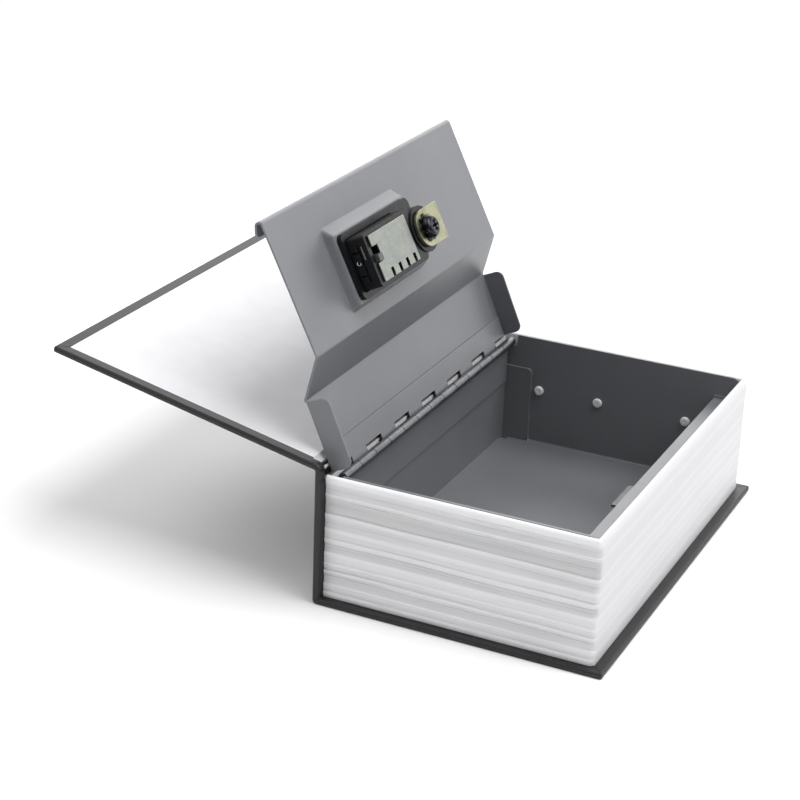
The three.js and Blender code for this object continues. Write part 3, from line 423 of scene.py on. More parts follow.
def worn_edges(add, tint, bare, radius, sharpness, patches=None):
    """A tint worn to another along edges, in patches, from how far a normal rounded in mm leans away; on
    steel it is also a painted highlight.
    """
    rounded = add("Bevel", {"Radius": radius * MM}, samples=4)
    flat = add("NewGeometry").outputs["Normal"]
    match = add("VectorMath", {0: rounded, 1: flat}, operation="DOT_PRODUCT")
    worn = add("MapRange", {"Value": match, "From Min": 1.0 - sharpness, "To Min": 1.0, "To Max": 0.0})
    if patches is not None:
        worn = add("Math", {0: worn, 1: patches}, operation="MULTIPLY")
    return add("Mix", {0: worn, MIX_A: tint, MIX_B: bare}, data_type="RGBA")


def finish_tree(add, tint, gloss, bumps, sockets):
    """The surface: a roughness or a texture between two, bumps as texture, strength and mm, other sockets."""
    inputs = {"Base Color": tint, "Roughness": gloss, **sockets}
    if isinstance(gloss, tuple):
        texture, low, high = gloss
        inputs["Roughness"] = add("MapRange", {"Value": texture, "To Min": low, "To Max": high})
    normal = {}
    for texture, strength, depth in bumps:
        bump = {"Height": texture, "Strength": strength, "Distance": depth * MM}
        normal = {"Normal": add("Bump", bump | normal)}
    add("OutputMaterial", {"Surface": add("BsdfPrincipled", inputs | normal)})


def embossed_leatherette(add, place):
    """Bookbinder's leatherette: PVC film on paper, embossed with a fine pebble grain by a heated roller."""
    # The film gives a dull sheen that turns bright where light grazes it, and the turned edges rub paler.
    # Real pebbles are about 0.3 mm wide, and are drawn wider so that they show.
    base = colours().covering
    scuffs = add("TexNoise", {"Vector": place, "Scale": wide(2.4), "Detail": 5.0})
    pebbles = add("TexVoronoi", {"Vector": place, "Scale": wide(sizes().grain / MM)}, feature="SMOOTH_F1")
    fibres = add("TexNoise", {"Vector": place, "Scale": wide(0.25), "Detail": 2.0})
    body = mottle(add, place, 18, shade(base, 0.85), shade(base, 1.2))
    tint = worn_edges(add, body, shade(base, 2.4), 0.5, 0.35, scuffs)
    finish_tree(add, tint, (fibres, 0.42, 0.56), [(pebbles, 0.25, 0.06), (fibres, 0.2, 0.03)], {"IOR": 1.52})


def pasted_endpaper(add, place):
    """Uncoated white endpaper: calendered wood-free paper, pasted down."""
    # It stays matt at every angle, with soft clouds from the fibre and faint ripples where the paste dried.
    # Paper fibres are finer than these and are drawn coarser so that they show.
    base = colours().endpaper
    cloudy = mottle(add, place, 9, shade(base, 0.975), shade(base, 1.02))
    fibres = add("TexNoise", {"Vector": place, "Scale": wide(0.5), "Detail": 4.0})
    ripple = add("TexNoise", {"Vector": place, "Scale": wide(22), "Detail": 1.0})
    finish_tree(add, cloudy, 0.8, [(ripple, 0.25, 0.5), (fibres, 0.15, 0.03)], {"IOR": 1.47})


def moulded_white_abs(add, place):
    """White ABS, injection moulded, with the lines of the pages cut into the mould."""
    # The mould's stone finish leaves a soft satin gloss. Painted shade darkens the rows that lie behind the
    # bundles' edges, and evenly darkens the fore face, where the relief is low.
    base = colours().block
    streaks = add("Mapping", {"Vector": place, "Scale": (0.05, 0.05, 1.0)})
    lines = add("TexNoise", {"Vector": streaks, "Scale": wide(0.9), "Detail": 4.0, "Roughness": 0.6})
    flow = mottle(add, place, 25, shade(base, 0.985), shade(base, 1.01))
    streaked = veiled(add, flow, lines, (0.36, 0.96), (0.5, 1.0))
    # Painted shade: the further a row lies behind the bundles' edges, the darker it is drawn
    recess = add("Attribute", attribute_name="recess").outputs["Fac"]
    tint = veiled(add, streaked, recess, (0.0, 1.0), (0.9, 0.8), (1.0, 0.71))
    finish_tree(add, tint, (lines, 0.42, 0.58), [(lines, 0.2, 0.04)], {"IOR": 1.54})


def baked_powder_coat(add, place):
    """Grey polyester powder coat on sheet steel, sprayed and baked."""
    # The melt leaves a fine orange peel that breaks up the softboxes. Sheared edges are drawn paler in
    # patches, partly as primer rubbed through and partly as a painted highlight. Specks of pigment are a few
    # hundredths of a mm wide, and are drawn coarser so that they show.
    base = colours().paint
    chips = add("TexNoise", {"Vector": place, "Scale": wide(3), "Detail": 6.0})
    pigment = add("TexNoise", {"Vector": place, "Scale": wide(0.35), "Detail": 2.0})
    peel = add("TexNoise", {"Vector": place, "Scale": wide(sizes().orange_peel / MM), "Detail": 1.5})
    smears = add("TexNoise", {"Vector": place, "Scale": wide(12), "Detail": 4.0})
    drift = mottle(add, place, 40, shade(base, 0.95), shade(base, 1.05))
    coat = veiled(add, drift, pigment, (0.3, 0.94), (0.62, 1.0))
    tint = worn_edges(add, coat, shade(base, 2.6), 0.35, 0.4, chips)
    finish_tree(add, tint, (smears, 0.34, 0.46), [(peel, 0.22, 0.08), (pigment, 0.12, 0.02)], {"IOR": 1.55})


def brushed_metal(add, place, low, high, rubbed_and_highlit, grain, roughness, patch):
    """Bare or plated steel with rolling marks along the book, drifting tint, and edges brightened by wear and
    a painted highlight.
    """
    along = add("Mapping", {"Vector": place, "Scale": (1.0, 0.06, 1.0)})
    lines = add("TexNoise", {"Vector": along, "Scale": wide(grain), "Detail": 5.0, "Roughness": 0.65})
    clouds = mottle(add, place, patch, low, high, detail=5.0)
    # The paler edges are partly wear and partly a painted highlight
    tint = worn_edges(add, veiled(add, clouds, lines, (0.3, 0.82), (0.6, 1.0)), rubbed_and_highlit, 0.3, 0.5)
    gloss = (lines, roughness - 0.08, roughness + 0.1)
    finish_tree(add, tint, gloss, [(lines, 0.2, 0.03)], {"Metallic": 1.0})


def drawn_hinge_steel(add, place):
    """Drawn mild steel strip, oiled and thinly coated: the knuckles' edges are drawn bright, as wear where
    they turn and as a painted highlight.
    """
    brushed_metal(add, place, linear("#6C6E71"), linear("#838588"), linear("#BABCBE"), 0.5, 0.42, 8)


def passivated_zinc_plate(add, place):
    """Steel stamping, zinc plated and passivated: pale, with yellow and green clouds from the passivation."""
    # Its pale edges stand partly for wear and partly for a painted highlight
    brushed_metal(add, place, colours().plate, linear("#92968C"), linear("#DADCC8"), 0.45, 0.34, 4)


def yellow_passivated_zinc(add, place):
    """Steel cam, zinc plated and yellow passivated: pale straw, greener in the hollows of the film."""
    brushed_metal(add, place, linear("#8E8D6E"), linear("#A8A78E"), linear("#E0DEC8"), 0.5, 0.38, 5)


def bare_spring_wire(add, place):
    """Bright drawn spring wire, left bare: it takes small sharp highlights."""
    brushed_metal(add, place, linear("#C6C8CA"), linear("#E2E2E0"), linear("#F0F0EE"), 0.5, 0.24, 3)


def black_oxide_steel(add, place):
    """Cold-headed steel screw, black oxide in oil: near black, with a soft wet gloss."""
    brushed_metal(add, place, linear("#26262A"), linear("#424248"), linear("#7A7A80"), 0.4, 0.28, 3)


def moulded(add, place, base, roughness, ior, grain, relief, gleam=0.5):
    """Injection-moulded plastic: a spark-eroded mould gives an even fine grain with slightly uneven gloss."""
    body = mottle(add, place, 10, shade(base, 0.88), shade(base, 1.14))
    sand = add("TexNoise", {"Vector": place, "Scale": wide(grain), "Detail": 3.0})
    swirl = add("TexNoise", {"Vector": place, "Scale": wide(4), "Detail": 3.0})
    gloss = (swirl, roughness - 0.07, roughness + 0.07)
    finish_tree(add, body, gloss, [(sand, 0.25, relief)], {"IOR": ior, "Specular IOR Level": gleam})


def moulded_black_abs(add, place):
    """Black ABS: a satin gloss that edges pick up, and pits of the mould that swallow part of it."""
    moulded(add, place, colours().plastic, 0.34, 1.54, 0.3, 0.03, 0.22)


def moulded_white_nylon(add, place):
    """Natural white nylon, as push rivets are moulded from: milky and slightly waxy."""
    moulded(add, place, linear("#EFEFF1"), 0.42, 1.53, 0.4, 0.02)


def polished_black_abs(add, place):
    """Black ABS wheels, a little glossier than the housing where fingers polish them."""
    moulded(add, place, shade(colours().plastic, 1.3), 0.28, 1.54, 0.3, 0.02)


def dark_electrocoat(add, place):
    """Dark grey e-coat on small steel parts: thin, even and half glossy."""
    moulded(add, place, linear("#434447"), 0.38, 1.55, 0.35, 0.03)


def wiped_white_enamel(add, place):
    """White enamel wiped into the numbers of the dials: bright against the wheels and half matt."""
    moulded(add, place, colours().digits, 0.5, 1.5, 0.25, 0.02)


def pressed_greyboard(add, place):
    """Binder's greyboard: pressed from waste paper, so it is flecked and quite matt."""
    flecks = mottle(add, place, 1.2, linear("#7E796E"), linear("#9A9486"), detail=6.0)
    pulp = add("TexNoise", {"Vector": place, "Scale": wide(0.6), "Detail": 5.0})
    finish_tree(add, flecks, 0.9, [(pulp, 0.4, 0.05)], {"IOR": 1.47})


# Helpers for meshes, in mm in a piece's own axes


def walk(start, legs):
    """Corners of a folded profile, from lengths and slopes."""
    points = [Vector(start)]
    for run, slope in legs:
        turn = math.radians(slope)
        points.append(points[-1] + Vector((run * math.cos(turn), run * math.sin(turn))))
    return points


def rounded_path(corners, radius, steps):
    """Points along the corners with each inner one rounded."""
    path = [corners[0]]
    for before, corner, after in zip(corners, corners[1:], corners[2:]):
        way_in = (corner - before).normalized()
        way_out = (after - corner).normalized()
        turn = math.atan2(way_in.x * way_out.y - way_in.y * way_out.x, way_in.dot(way_out))
        start = corner - way_in * radius * math.tan(abs(turn) / 2)
        centre = start + Vector((-way_in.y, way_in.x)) * math.copysign(1, turn) * radius
        for step in range(steps + 1):
            path.append(centre + (start - centre) @ Matrix.Rotation(-turn * step / steps, 2))
    path.append(corners[-1])
    return path


def path_normals(path):
    """Left-hand normals at the points of a path."""
    normals = []
    last = len(path) - 1
    for i in range(len(path)):
        before = (path[max(i, 1)] - path[max(i, 1) - 1]).normalized()
        after = (path[min(i, last - 1) + 1] - path[min(i, last - 1)]).normalized()
        along = (before + after).normalized()
        normals.append(Vector((-along.y, along.x)) / max(0.5, along.dot(before)))
    return normals


def quarter(steps):
    """Places round a quarter turn, as shares of the radius: off its first end and short of its second."""
    turns = [math.pi / 2 * k / steps for k in range(steps + 1)]
    return [(1 - math.cos(turn), 1 - math.sin(turn)) for turn in turns]


def steps_between(low, high, step):
    """Evenly spaced values from low to high, no further apart than a step."""
    count = max(1, math.ceil((high - low) / step))
    return [low + (high - low) * k / count for k in range(count + 1)]


def grid(rows, columns, closed=False, keep=None, base=0):
    """Faces between the rows of a grid of points, all or those kept. Rows may close on themselves."""
    faces = []
    for i in range(rows - 1):
        for j in range(columns if closed else columns - 1):
            if keep is None or keep(i, j):
                a, b = base + i * columns + j, base + i * columns + (j + 1) % columns
                faces.append((a, b, b + columns, a + columns))
    return faces


def mesh_of(points, faces):
    """A bmesh from points in mm and faces."""
    shape = bmesh.new()
    made = [shape.verts.new(point) for point in points]
    for face in faces:
        corners = [made[i] for i in face]
        if len(set(corners)) > 2:
            shape.faces.new(corners)
    bmesh.ops.remove_doubles(shape, verts=shape.verts, dist=1e-5)
    bmesh.ops.recalc_face_normals(shape, faces=shape.faces)
    return shape


def loft(rings, sides=0):
    """Closed rings joined one after another, with the ends closed by one face, or by quads across a strip."""
    count = len(rings[0])
    points = [point for ring in rings for point in ring]
    faces = grid(len(rings), count, closed=True)
    for base in (0, len(points) - count):
        last = base + count - 1
        if sides:
            faces += [(base + k, base + k + 1, last - k - 1, last - k) for k in range(sides - 1)]
        else:
            faces.append(tuple(range(base, last + 1)))
    return mesh_of(points, faces)


def sheet_ring(path, half, y):
    """Section at y of a sheet whose middle follows a path in XZ, with half its thickness on each side."""
    sides = list(zip(path, path_normals(path)))
    ring = [p + n * half for p, n in sides] + [p - n * half for p, n in reversed(sides)]
    return [(p.x, y, p.y) for p in ring]


def prism(outline, low, high):
    """An outline in XY between two heights."""
    return loft([[(x, y, z) for x, y in outline] for z in (low, high)])


def lathe(profile, segments, y=0):
    """A profile of radius and height turned about an upright axis at y. It starts and ends on the axis."""
    turns = [2 * math.pi * k / segments for k in range(segments)]
    points = []
    for radius, level in profile:
        points += [(radius * math.cos(turn), radius * math.sin(turn), level) for turn in turns]
    shape = mesh_of(points, grid(len(profile), segments, closed=True))
    shape.transform(Matrix.Translation((0, y, 0)))
    return shape


def disc(radius, y, low, high):
    """A round plug about an upright axis at y, between two levels."""
    return lathe([(0.0, low), (radius, low), (radius, high), (0.0, high)], 48, y)


def rounded_rectangle(x0, x1, y0, y1, radius, steps=6):
    """Points of a rectangle with round corners."""
    outline = []
    for cx, cy, start in (
        (x1 - radius, y0 + radius, -90),
        (x1 - radius, y1 - radius, 0),
        (x0 + radius, y1 - radius, 90),
        (x0 + radius, y0 + radius, 180),
    ):
        for step in range(steps + 1):
            angle = math.radians(start + 90 * step / steps)
            outline.append((cx + radius * math.cos(angle), cy + radius * math.sin(angle)))
    return outline


def round_edges(shape, radius, segments, angle, choose=None):
    """Rounds the edges that bend by more than an angle in degrees, or those of them that choose picks."""
    limit = math.radians(angle)
    sharp = [
        edge for edge in shape.edges
        if len(edge.link_faces) == 2 and edge.calc_face_angle(0) > limit and (choose is None or choose(edge))
    ]
    if sharp:
        bmesh.ops.bevel(
            shape, geom=sharp, offset=radius, segments=segments, affect="EDGES", profile=0.5,
            clamp_overlap=True
        )


def soften(shape, radius, segments=2, angle=28, choose=None):
    """Joins flat neighbours, then rounds the edges."""
    bmesh.ops.dissolve_limit(shape, angle_limit=math.radians(0.5), verts=shape.verts, edges=shape.edges)
    round_edges(shape, radius, segments, angle, choose)
    return shape


def in_mm(mesh, axes=Matrix()):
    """A mesh in metres as a bmesh in mm in some axes."""
    shape = bmesh.new()
    shape.from_mesh(mesh)
    shape.transform(Matrix.Scale(1 / MM, 4) @ axes.inverted())
    return shape


def from_frame(node, axes):
    """A copy of a node's mesh in mm in some axes, with its corners merged."""
    shape = in_mm(frame["nodes"][node].data, axes)
    bmesh.ops.remove_doubles(shape, verts=shape.verts, dist=1e-3)
    return shape


def span_y(node):
    """Both ends of a node along the book, in mm."""
    return [Vector(corner).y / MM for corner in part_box(node)]


def shade_mesh(shape, smooth=35):
    """Smooth shading across edges up to an angle in degrees, and flat shading of large flat faces."""
    limit = math.radians(smooth)
    for face in shape.faces:
        face.smooth = face.calc_area() < FLAT_AREA
    for edge in shape.edges:
        edge.smooth = len(edge.link_faces) == 2 and edge.calc_face_angle(math.pi) < limit


def linked(name, data):
    """A new object of some data, in the scene."""
    made = bpy.data.objects.new(name, data)
    bpy.context.scene.collection.objects.link(made)
    return made


def object_of(name, shape, axes, material, smooth=35):
    """An object in metres from a bmesh in mm in some axes, with smooth shading up to an angle."""
    shade_mesh(shape, smooth)
    shape.transform(axes @ Matrix.Scale(MM, 4))
    mesh = bpy.data.meshes.new(name)
    shape.to_mesh(mesh)
    shape.free()
    mesh.materials.append(coat_of(material))
    return linked(name, mesh)


def evaluated(piece):
    """The mesh of a piece with its modifiers, or of a curve or a text."""
    return bpy.data.meshes.new_from_object(piece.evaluated_get(bpy.context.evaluated_depsgraph_get()))


def drawn(curve):
    """A bmesh of a curve or a text."""
    holder = linked(curve.name, curve)
    shape = bmesh.new()
    shape.from_mesh(evaluated(holder))
    bpy.data.objects.remove(holder)
    return shape


def weighted(piece):
    """Normals that follow the large faces, so that rounded edges don't shade the flats."""
    piece.modifiers.new("flat_faces", "WEIGHTED_NORMAL").keep_sharp = True
    return piece


def settle(piece):
    """Applies the modifiers that a piece has."""
    mesh = evaluated(piece)
    piece.modifiers.clear()
    piece.data = mesh
    return piece


def cut(piece, shape, axes, material):
    """Cuts a shape in mm in some axes out of a piece."""
    tool = object_of("cutter", shape, axes, material)
    modifier = piece.modifiers.new("cut", "BOOLEAN")
    modifier.solver = "EXACT"
    modifier.operation = "DIFFERENCE"
    modifier.object = tool
    bpy.context.view_layer.update()
    settle(piece)
    bpy.data.objects.remove(tool)


def dress(piece, body, slot, *nodes):
    """Puts a piece on its body and in place of its nodes. Its slot is not used."""
    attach(piece, body)
    if nodes:
        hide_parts(*nodes)
    return piece


def softened_node(node, axes, material, body, slot, radius, segments=2, choose=None):
    """A node drawn again with its edges rounded."""
    shape = soften(from_frame(node, axes), radius, segments, choose=choose)
    return dress(weighted(object_of(node + "_edged", shape, axes, material)), body, slot, node)


def finish_node(node, material):
    """Gives a node that keeps its shape its real finish."""
    piece = frame["nodes"][node]
    piece.data.materials.clear()
    piece.data.materials.append(coat_of(material))


# Pieces of the case


def joint_ring(thickness, radius, y, shrink=0.0):
    """Section of the joint cloth from the spine to the open cover, thinner by a margin on both faces."""
    sine, cosine = math.sin(COVER_TURN), math.cos(COVER_TURN)
    half = thickness / 2
    run = JOINT_WIDTH - JOINT_GAP
    corners = [
        Vector((half, SPINE_TOP + JOINT_GAP)),
        Vector((half, BOOK_THICK + half * (1 - sine) / -cosine)),
        Vector((run * cosine + half * sine, BOOK_THICK + run * sine - half * cosine)),
    ]
    return sheet_ring(rounded_path(corners, radius, JOINT_STEPS), half - shrink, y)


def joint_cloth():
    """Bare cloth between turned-in ends that are as thick as the cover."""
    end, edge = BOOK_LENGTH / 2, COVER_EDGE_RADIUS
    thin = end - JOINT_END_WIDTH
    hem = [(edge * run - end, edge * shrink) for run, shrink in quarter(HEM_STEPS)]
    hem += [(-thin - rise, 0.0) for rise in JOINT_END_RISE]
    rings = [joint_ring(COVER_THICK, JOINT_END_RADIUS, y, shrink) for y, shrink in hem]
    stations = steps_between(-thin, thin, JOINT_STATION)
    rings += [joint_ring(JOINT_CLOTH, JOINT_BEND_RADIUS, y) for y in stations]
    rings += [joint_ring(COVER_THICK, JOINT_END_RADIUS, -y, shrink) for y, shrink in reversed(hem)]
    return loft(rings, sides=len(rings[0]) // 2)


def joint_paper():
    """The endpaper where it runs from the open cover to its end inside the joint."""
    unfold = Matrix.Rotation(-COVER_TURN, 2).inverted()
    path = [Vector((0, BOOK_THICK)) + unfold @ Vector(point) for point in PAPER_ON_COVER]
    path = rounded_path(path + [Vector(point) for point in PAPER_IN_JOINT], PAPER_BEND_RADIUS, 3)
    stations = steps_between(-PAPER_HALF, PAPER_HALF, PAPER_STATION)
    return loft([sheet_ring(path, PAPER_THICK / 2, y) for y in stations], sides=len(path))


class OBJECT_OT_safe_case(bpy.types.Operator):
    """Makes the covers, the spine and the joint of the book case"""

    bl_idname = "object.safe_case"
    bl_label = "Book Case"

    def execute(self, context):
        cloth = embossed_leatherette
        for node, axes, body, level in (
            ("case_cloth", SPINE, "box", COVER_THICK),
            ("front_cover_cloth", COVER, "front_cover", -COVER_THICK),
        ):
            cover = softened_node(node, axes, cloth, body, "book_cloth", COVER_EDGE_RADIUS, 3, outer_edge)
            fold_corners(cover, axes, level)
        for node in ("back_board", "spine_board", "front_board"):
            finish_node(node, pressed_greyboard)
        for node in ("back_endpaper", "spine_lining"):
            finish_node(node, pasted_endpaper)
        softened_node("front_endpaper", COVER, pasted_endpaper, "front_cover", "endpaper", PAPER_EDGE_RADIUS)
        joint = object_of("cover_joint_cloth", joint_cloth(), SPINE, cloth)
        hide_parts("cover_joint")
        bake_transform(joint)
        lining = object_of("cover_joint_paper", joint_paper(), SPINE, pasted_endpaper)
        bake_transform(lining)
        return {"FINISHED"}


def fold_corners(cover, axes, level):
    """Scores the mitre where two turn-ins meet at each fore corner of a cover's inner face."""
    half = MITRE_HALF
    outline = [(MITRE_START, -half), (MITRE_END, -half), (MITRE_END, half), (MITRE_START, half)]
    for side in (-1, 1):
        shape = prism(outline, -MITRE_DEPTH, MITRE_DEPTH)
        shape.transform(Matrix.Rotation(math.radians(180 + 45 * side), 4, "Z"))
        shape.transform(Matrix.Translation((BOOK_WIDTH, side * BOOK_LENGTH / 2, level)))
        cut(cover, shape, axes, embossed_leatherette)
    weighted(cover)


def outer_edge(edge):
    """Whether an edge lies at the outside of a cover, where cloth wraps the board, and not at the joint."""
    places = [vert.co for vert in edge.verts]
    if all(place.z > SPINE_TOP - NEAR for place in places):
        return False
    if all(abs(place.x - JOINT_WIDTH) < NEAR for place in places):
        return False
    return any(abs(abs(p.y) - BOOK_LENGTH / 2) < NEAR or abs(p.x - BOOK_WIDTH) < NEAR for p in places)


# The page block


def block_columns():
    """Places round the block: outer point, outward direction, run along the face, its relief and number."""
    fore, bend = BLOCK_FORE - BLOCK_CORNER, BLOCK_END - BLOCK_CORNER
    tail, head = (
        [
            (Vector((x, side * BLOCK_END)), Vector((0, side)), x, 1.0, side + 1)
            for x in steps_between(BLOCK_SPINE, fore, BLOCK_END_STEP)[:-1]
        ]
        for side in (-1, 1)
    )
    face = [
        (Vector((BLOCK_FORE, y)), Vector((1, 0)), y, FORE_RELIEF, 1)
        for y in steps_between(-bend, bend, BLOCK_FORE_STEP)[1:-1]
    ]
    return tail + corner_columns(-1) + face + corner_columns(1) + head[::-1]


def corner_columns(side):
    """Places round one fore corner of the block, in order along its outside."""
    centre = Vector((BLOCK_FORE - BLOCK_CORNER, side * (BLOCK_END - BLOCK_CORNER)))
    columns = []
    for step in range(CORNER_STEPS + 1):
        share = step / CORNER_STEPS
        turn = math.radians(90 * (share - 1 if side < 0 else share))
        out = Vector((math.cos(turn), math.sin(turn)))
        toward_end = 1 - share if side < 0 else share
        relief = FORE_RELIEF + (1 - FORE_RELIEF) * min(1.0, 1.8 * toward_end)
        columns.append((centre + out * BLOCK_CORNER, out, BLOCK_FORE, relief, side + 1))
    return columns


def bundle_face(start, end, strength, crevice, seed):
    """Rows of one bundle's face, which leans in below its edge, runs straight down and carries fine lines."""
    rows = []
    above, below = LINE_MARGINS
    place = start + above
    k = 0
    # The sines scatter the lines' depths and pitches
    while place < end - below:
        sunk = strength * min(1.0, (place - start) / BUNDLE_LEAN)
        notch = LINE_DEPTH[0] + LINE_DEPTH[1] * math.sin(7.3 * (seed + 1) * (k + 1) ** 2)
        rows += [(place - FINE_LINE, sunk), (place, sunk + notch), (place + FINE_LINE, sunk)]
        place += LINE_PITCH[0] + LINE_PITCH[1] * math.sin(12.9 * (seed + k * k))
        k += 1
    if crevice:
        rows += [(end - 0.5, strength), (end - 0.22, strength + 0.6 * crevice)]
    return rows


def page_rows():
    """Rows of the block's face from foot to rim: places below the top and shares of the page relief."""
    rows = [(RIM_OUTSIDE[1], 0.0)]
    start = RIM_OUTSIDE[1]
    for i, (edge, strength, crevice) in enumerate(BUNDLES):
        rows += bundle_face(start, edge, strength, crevice, i)
        rows += [(edge + share * BUNDLE_EDGE, strength * left) for share, left in BUNDLE_SHOULDER]
        start = edge + BUNDLE_EDGE
    foot = BLOCK_TOP - BLOCK_BOTTOM
    rows += [(foot - FOOT_HEIGHT, FOOT_RELIEF), (foot, FOOT_RELIEF)]
    return rows[::-1]


def block_ring(column, rows, depth):
    """Section of the block's wall at one column, from the inner foot round to the inner top."""
    outer, out, run, strength, face = column
    inner = inner_point(outer, out)
    across, tall = RIM_OUTSIDE
    ring = [(inner, BLOCK_BOTTOM)]
    for below, share in rows:
        margin = min(1.0, (below - tall) / 2, (BLOCK_TOP - BLOCK_BOTTOM - below) / 2)
        wander = noise.noise(Vector((run / 45, below / 8, face * 9.1)))
        vary = noise.noise(Vector((run / 30, below / 5 + 40, face * 4.7)))
        sunk = depth * strength * share * min(1.15, max(0.45, 0.9 + 0.7 * vary))
        ring.append((outer - out * sunk, BLOCK_TOP - below + LINE_WANDER * margin * wander))
    steps = quarter(RIM_STEPS)
    ring += [(outer - out * across * off, BLOCK_TOP - tall * short) for off, short in steps[1:]]
    ring += [(inner + out * (RIM_INSIDE * short), BLOCK_TOP - RIM_INSIDE * off) for off, short in steps]
    return [(point.x, point.y, height) for point, height in ring]


def inner_point(outer, out):
    """The inner face's point across the wall, round a tighter corner."""
    if abs(out.x) < 1e-6 or abs(out.y) < 1e-6:
        return outer - out * BLOCK_WALL
    inset = BLOCK_WALL - BLOCK_CORNER + BLOCK_INNER_CORNER
    centre = outer - out * BLOCK_CORNER - Vector((inset, math.copysign(inset, out.y)))
    return centre + out * BLOCK_INNER_CORNER


def mark_recess(shape, columns, rows):
    """Notes painted shade on each point: how far its row lies behind the bundles' edges, evenly where relief
    is low.
    """
    layer = shape.verts.layers.float.new("recess")
    shares = [0.0] + [share for below, share in rows] + [0.0] * (2 * RIM_STEPS + 1)
    places = [(column[3], share) for column in columns for share in shares]
    for vert, (strength, share) in zip(shape.verts, places):
        vert[layer] = min(1.0, share * strength + LOW_RELIEF_SHADE * (1 - strength))


class OBJECT_OT_safe_pages(bpy.types.Operator):
    """Makes the moulded block that looks like pages"""

    bl_idname = "object.safe_pages"
    bl_label = "Page Block"

    def execute(self, context):
        rows = page_rows()
        columns = block_columns()
        depth = sizes().page_relief / MM
        shape = loft([block_ring(column, rows, depth) for column in columns])
        mark_recess(shape, columns, rows)
        block = object_of("page_block_moulding", shape, SPINE, moulded_white_abs, smooth=50)
        dress(block, "box", "page_plastic", "page_block")
        return {"FINISHED"}


# The steel tray


def floor_fold(edge):
    """Whether an edge is a long inside corner where the floor is folded up into a wall."""
    low = all(abs(vert.co.z - TRAY_FLOOR_Z) < 0.05 for vert in edge.verts)
    return low and edge.calc_length() > FOLD_LENGTH and not edge.is_convex


def rivet(node):
    """A push rivet: a domed head with the dimple of its moulding gate, and a shank."""
    low, high = map(Vector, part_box(node))
    inward = Vector(RIVET_WALLS[node[:4]])
    seat = abs((high - low).dot(inward)) / 2 / MM - RIVET_HEAD
    tip = -RIVET_LENGTH - RIVET_TIP
    profile = [(radius, RIVET_HEAD + level) for radius, level in RIVET_DIMPLE]
    profile += [
        (RIVET_RADIUS - RIVET_EDGE * short, RIVET_HEAD - RIVET_EDGE * off) for off, short in quarter(6)
    ]
    profile += [(RIVET_RADIUS, -0.02), (RIVET_SHANK, -0.02)]
    profile += [(RIVET_SHANK, -RIVET_LENGTH), (RIVET_SHANK - 0.3, tip), (0.0, tip)]
    shape = lathe([(radius, level + seat) for radius, level in profile], 32)
    turn = Vector((0, 0, 1)).rotation_difference(inward).to_matrix().to_4x4()
    axes = Matrix.Translation((low + high) / 2) @ turn
    dress(object_of(node + "_turned", shape, axes, moulded_white_nylon), "box", "white_rivet", node)


class OBJECT_OT_safe_tray(bpy.types.Operator):
    """Makes the folded steel tray with its strike and rivets"""

    bl_idname = "object.safe_tray"
    bl_label = "Steel Tray"

    def execute(self, context):
        edge = sizes().steel_edge / MM
        shape = soften(from_frame("steel_tray", SPINE), TRAY_FOLD, 4, choose=floor_fold)
        tray = object_of("steel_tray_folded", soften(shape, edge, 2, angle=50), SPINE, baked_powder_coat)
        dress(weighted(tray), "box", "grey_powder_coat", "steel_tray")
        softened_node("strike_bracket", SPINE, dark_electrocoat, "box", "dark_steel", edge)
        for node in frame["nodes"]:
            if "_rivet_" in node:
                rivet(node)
        return {"FINISHED"}


# The hinge


def knuckle_spans():
    """Ends of each knuckle along the hinge."""
    low, high = span_y("hinge_pin")
    return [(low + i * KNUCKLE, low + (i + 1) * KNUCKLE) for i in range(round((high - low) / KNUCKLE))]


def leaf_sheet(path, wrap_count, low, high, first):
    """Middle surface of a leaf whose every second knuckle is rolled, from its path and its two ends."""
    rolled = []
    for start, end in knuckle_spans()[first::2]:
        start, end = max(start + KNUCKLE_GAP / 2, low), min(end - KNUCKLE_GAP / 2, high)
        if end > start:
            rolled.append((start, end))
    stations = sorted({low, high}.union(*rolled))

    def keep(i, j):
        middle = (stations[i] + stations[i + 1]) / 2
        return j >= wrap_count or any(start - 1e-6 < middle < end for start, end in rolled)

    points = [(p.x, y, p.y) for y in stations for p in path]
    return mesh_of(points, grid(len(stations), len(path), keep=keep))


def arc(radius, start, turn, steps):
    """Points round the origin."""
    turns = [math.radians(start + turn * k / steps) for k in range(steps + 1)]
    return [Vector((radius * math.cos(angle), radius * math.sin(angle))) for angle in turns]


def sheet_object(name, shape, axes, material, thickness):
    """A sheet of a thickness round a middle surface."""
    piece = object_of(name, shape, axes, material)
    modifier = piece.modifiers.new("sheet", "SOLIDIFY")
    modifier.thickness = thickness * MM
    modifier.offset = 0
    modifier.use_even_offset = True
    return settle(piece)


def break_edges(piece, radius):
    """Rounds the sheared edges of a sheet piece and sets its shading again."""
    shape = in_mm(piece.data)
    round_edges(shape, radius, 2, 55)
    shade_mesh(shape)
    shape.transform(Matrix.Scale(MM, 4))
    shape.to_mesh(piece.data)
    shape.free()
    return weighted(piece)


def paint_leaf(leaf):
    """Coats a leaf like the box, all but its rolled barrel."""
    leaf.data.materials.append(coat_of(baked_powder_coat))
    for face in leaf.data.polygons:
        away = face.center - LID_AXIS
        if math.hypot(away.x, away.z) > (BARREL_RADIUS + LEAF_BARE) * MM:
            face.material_index = 1


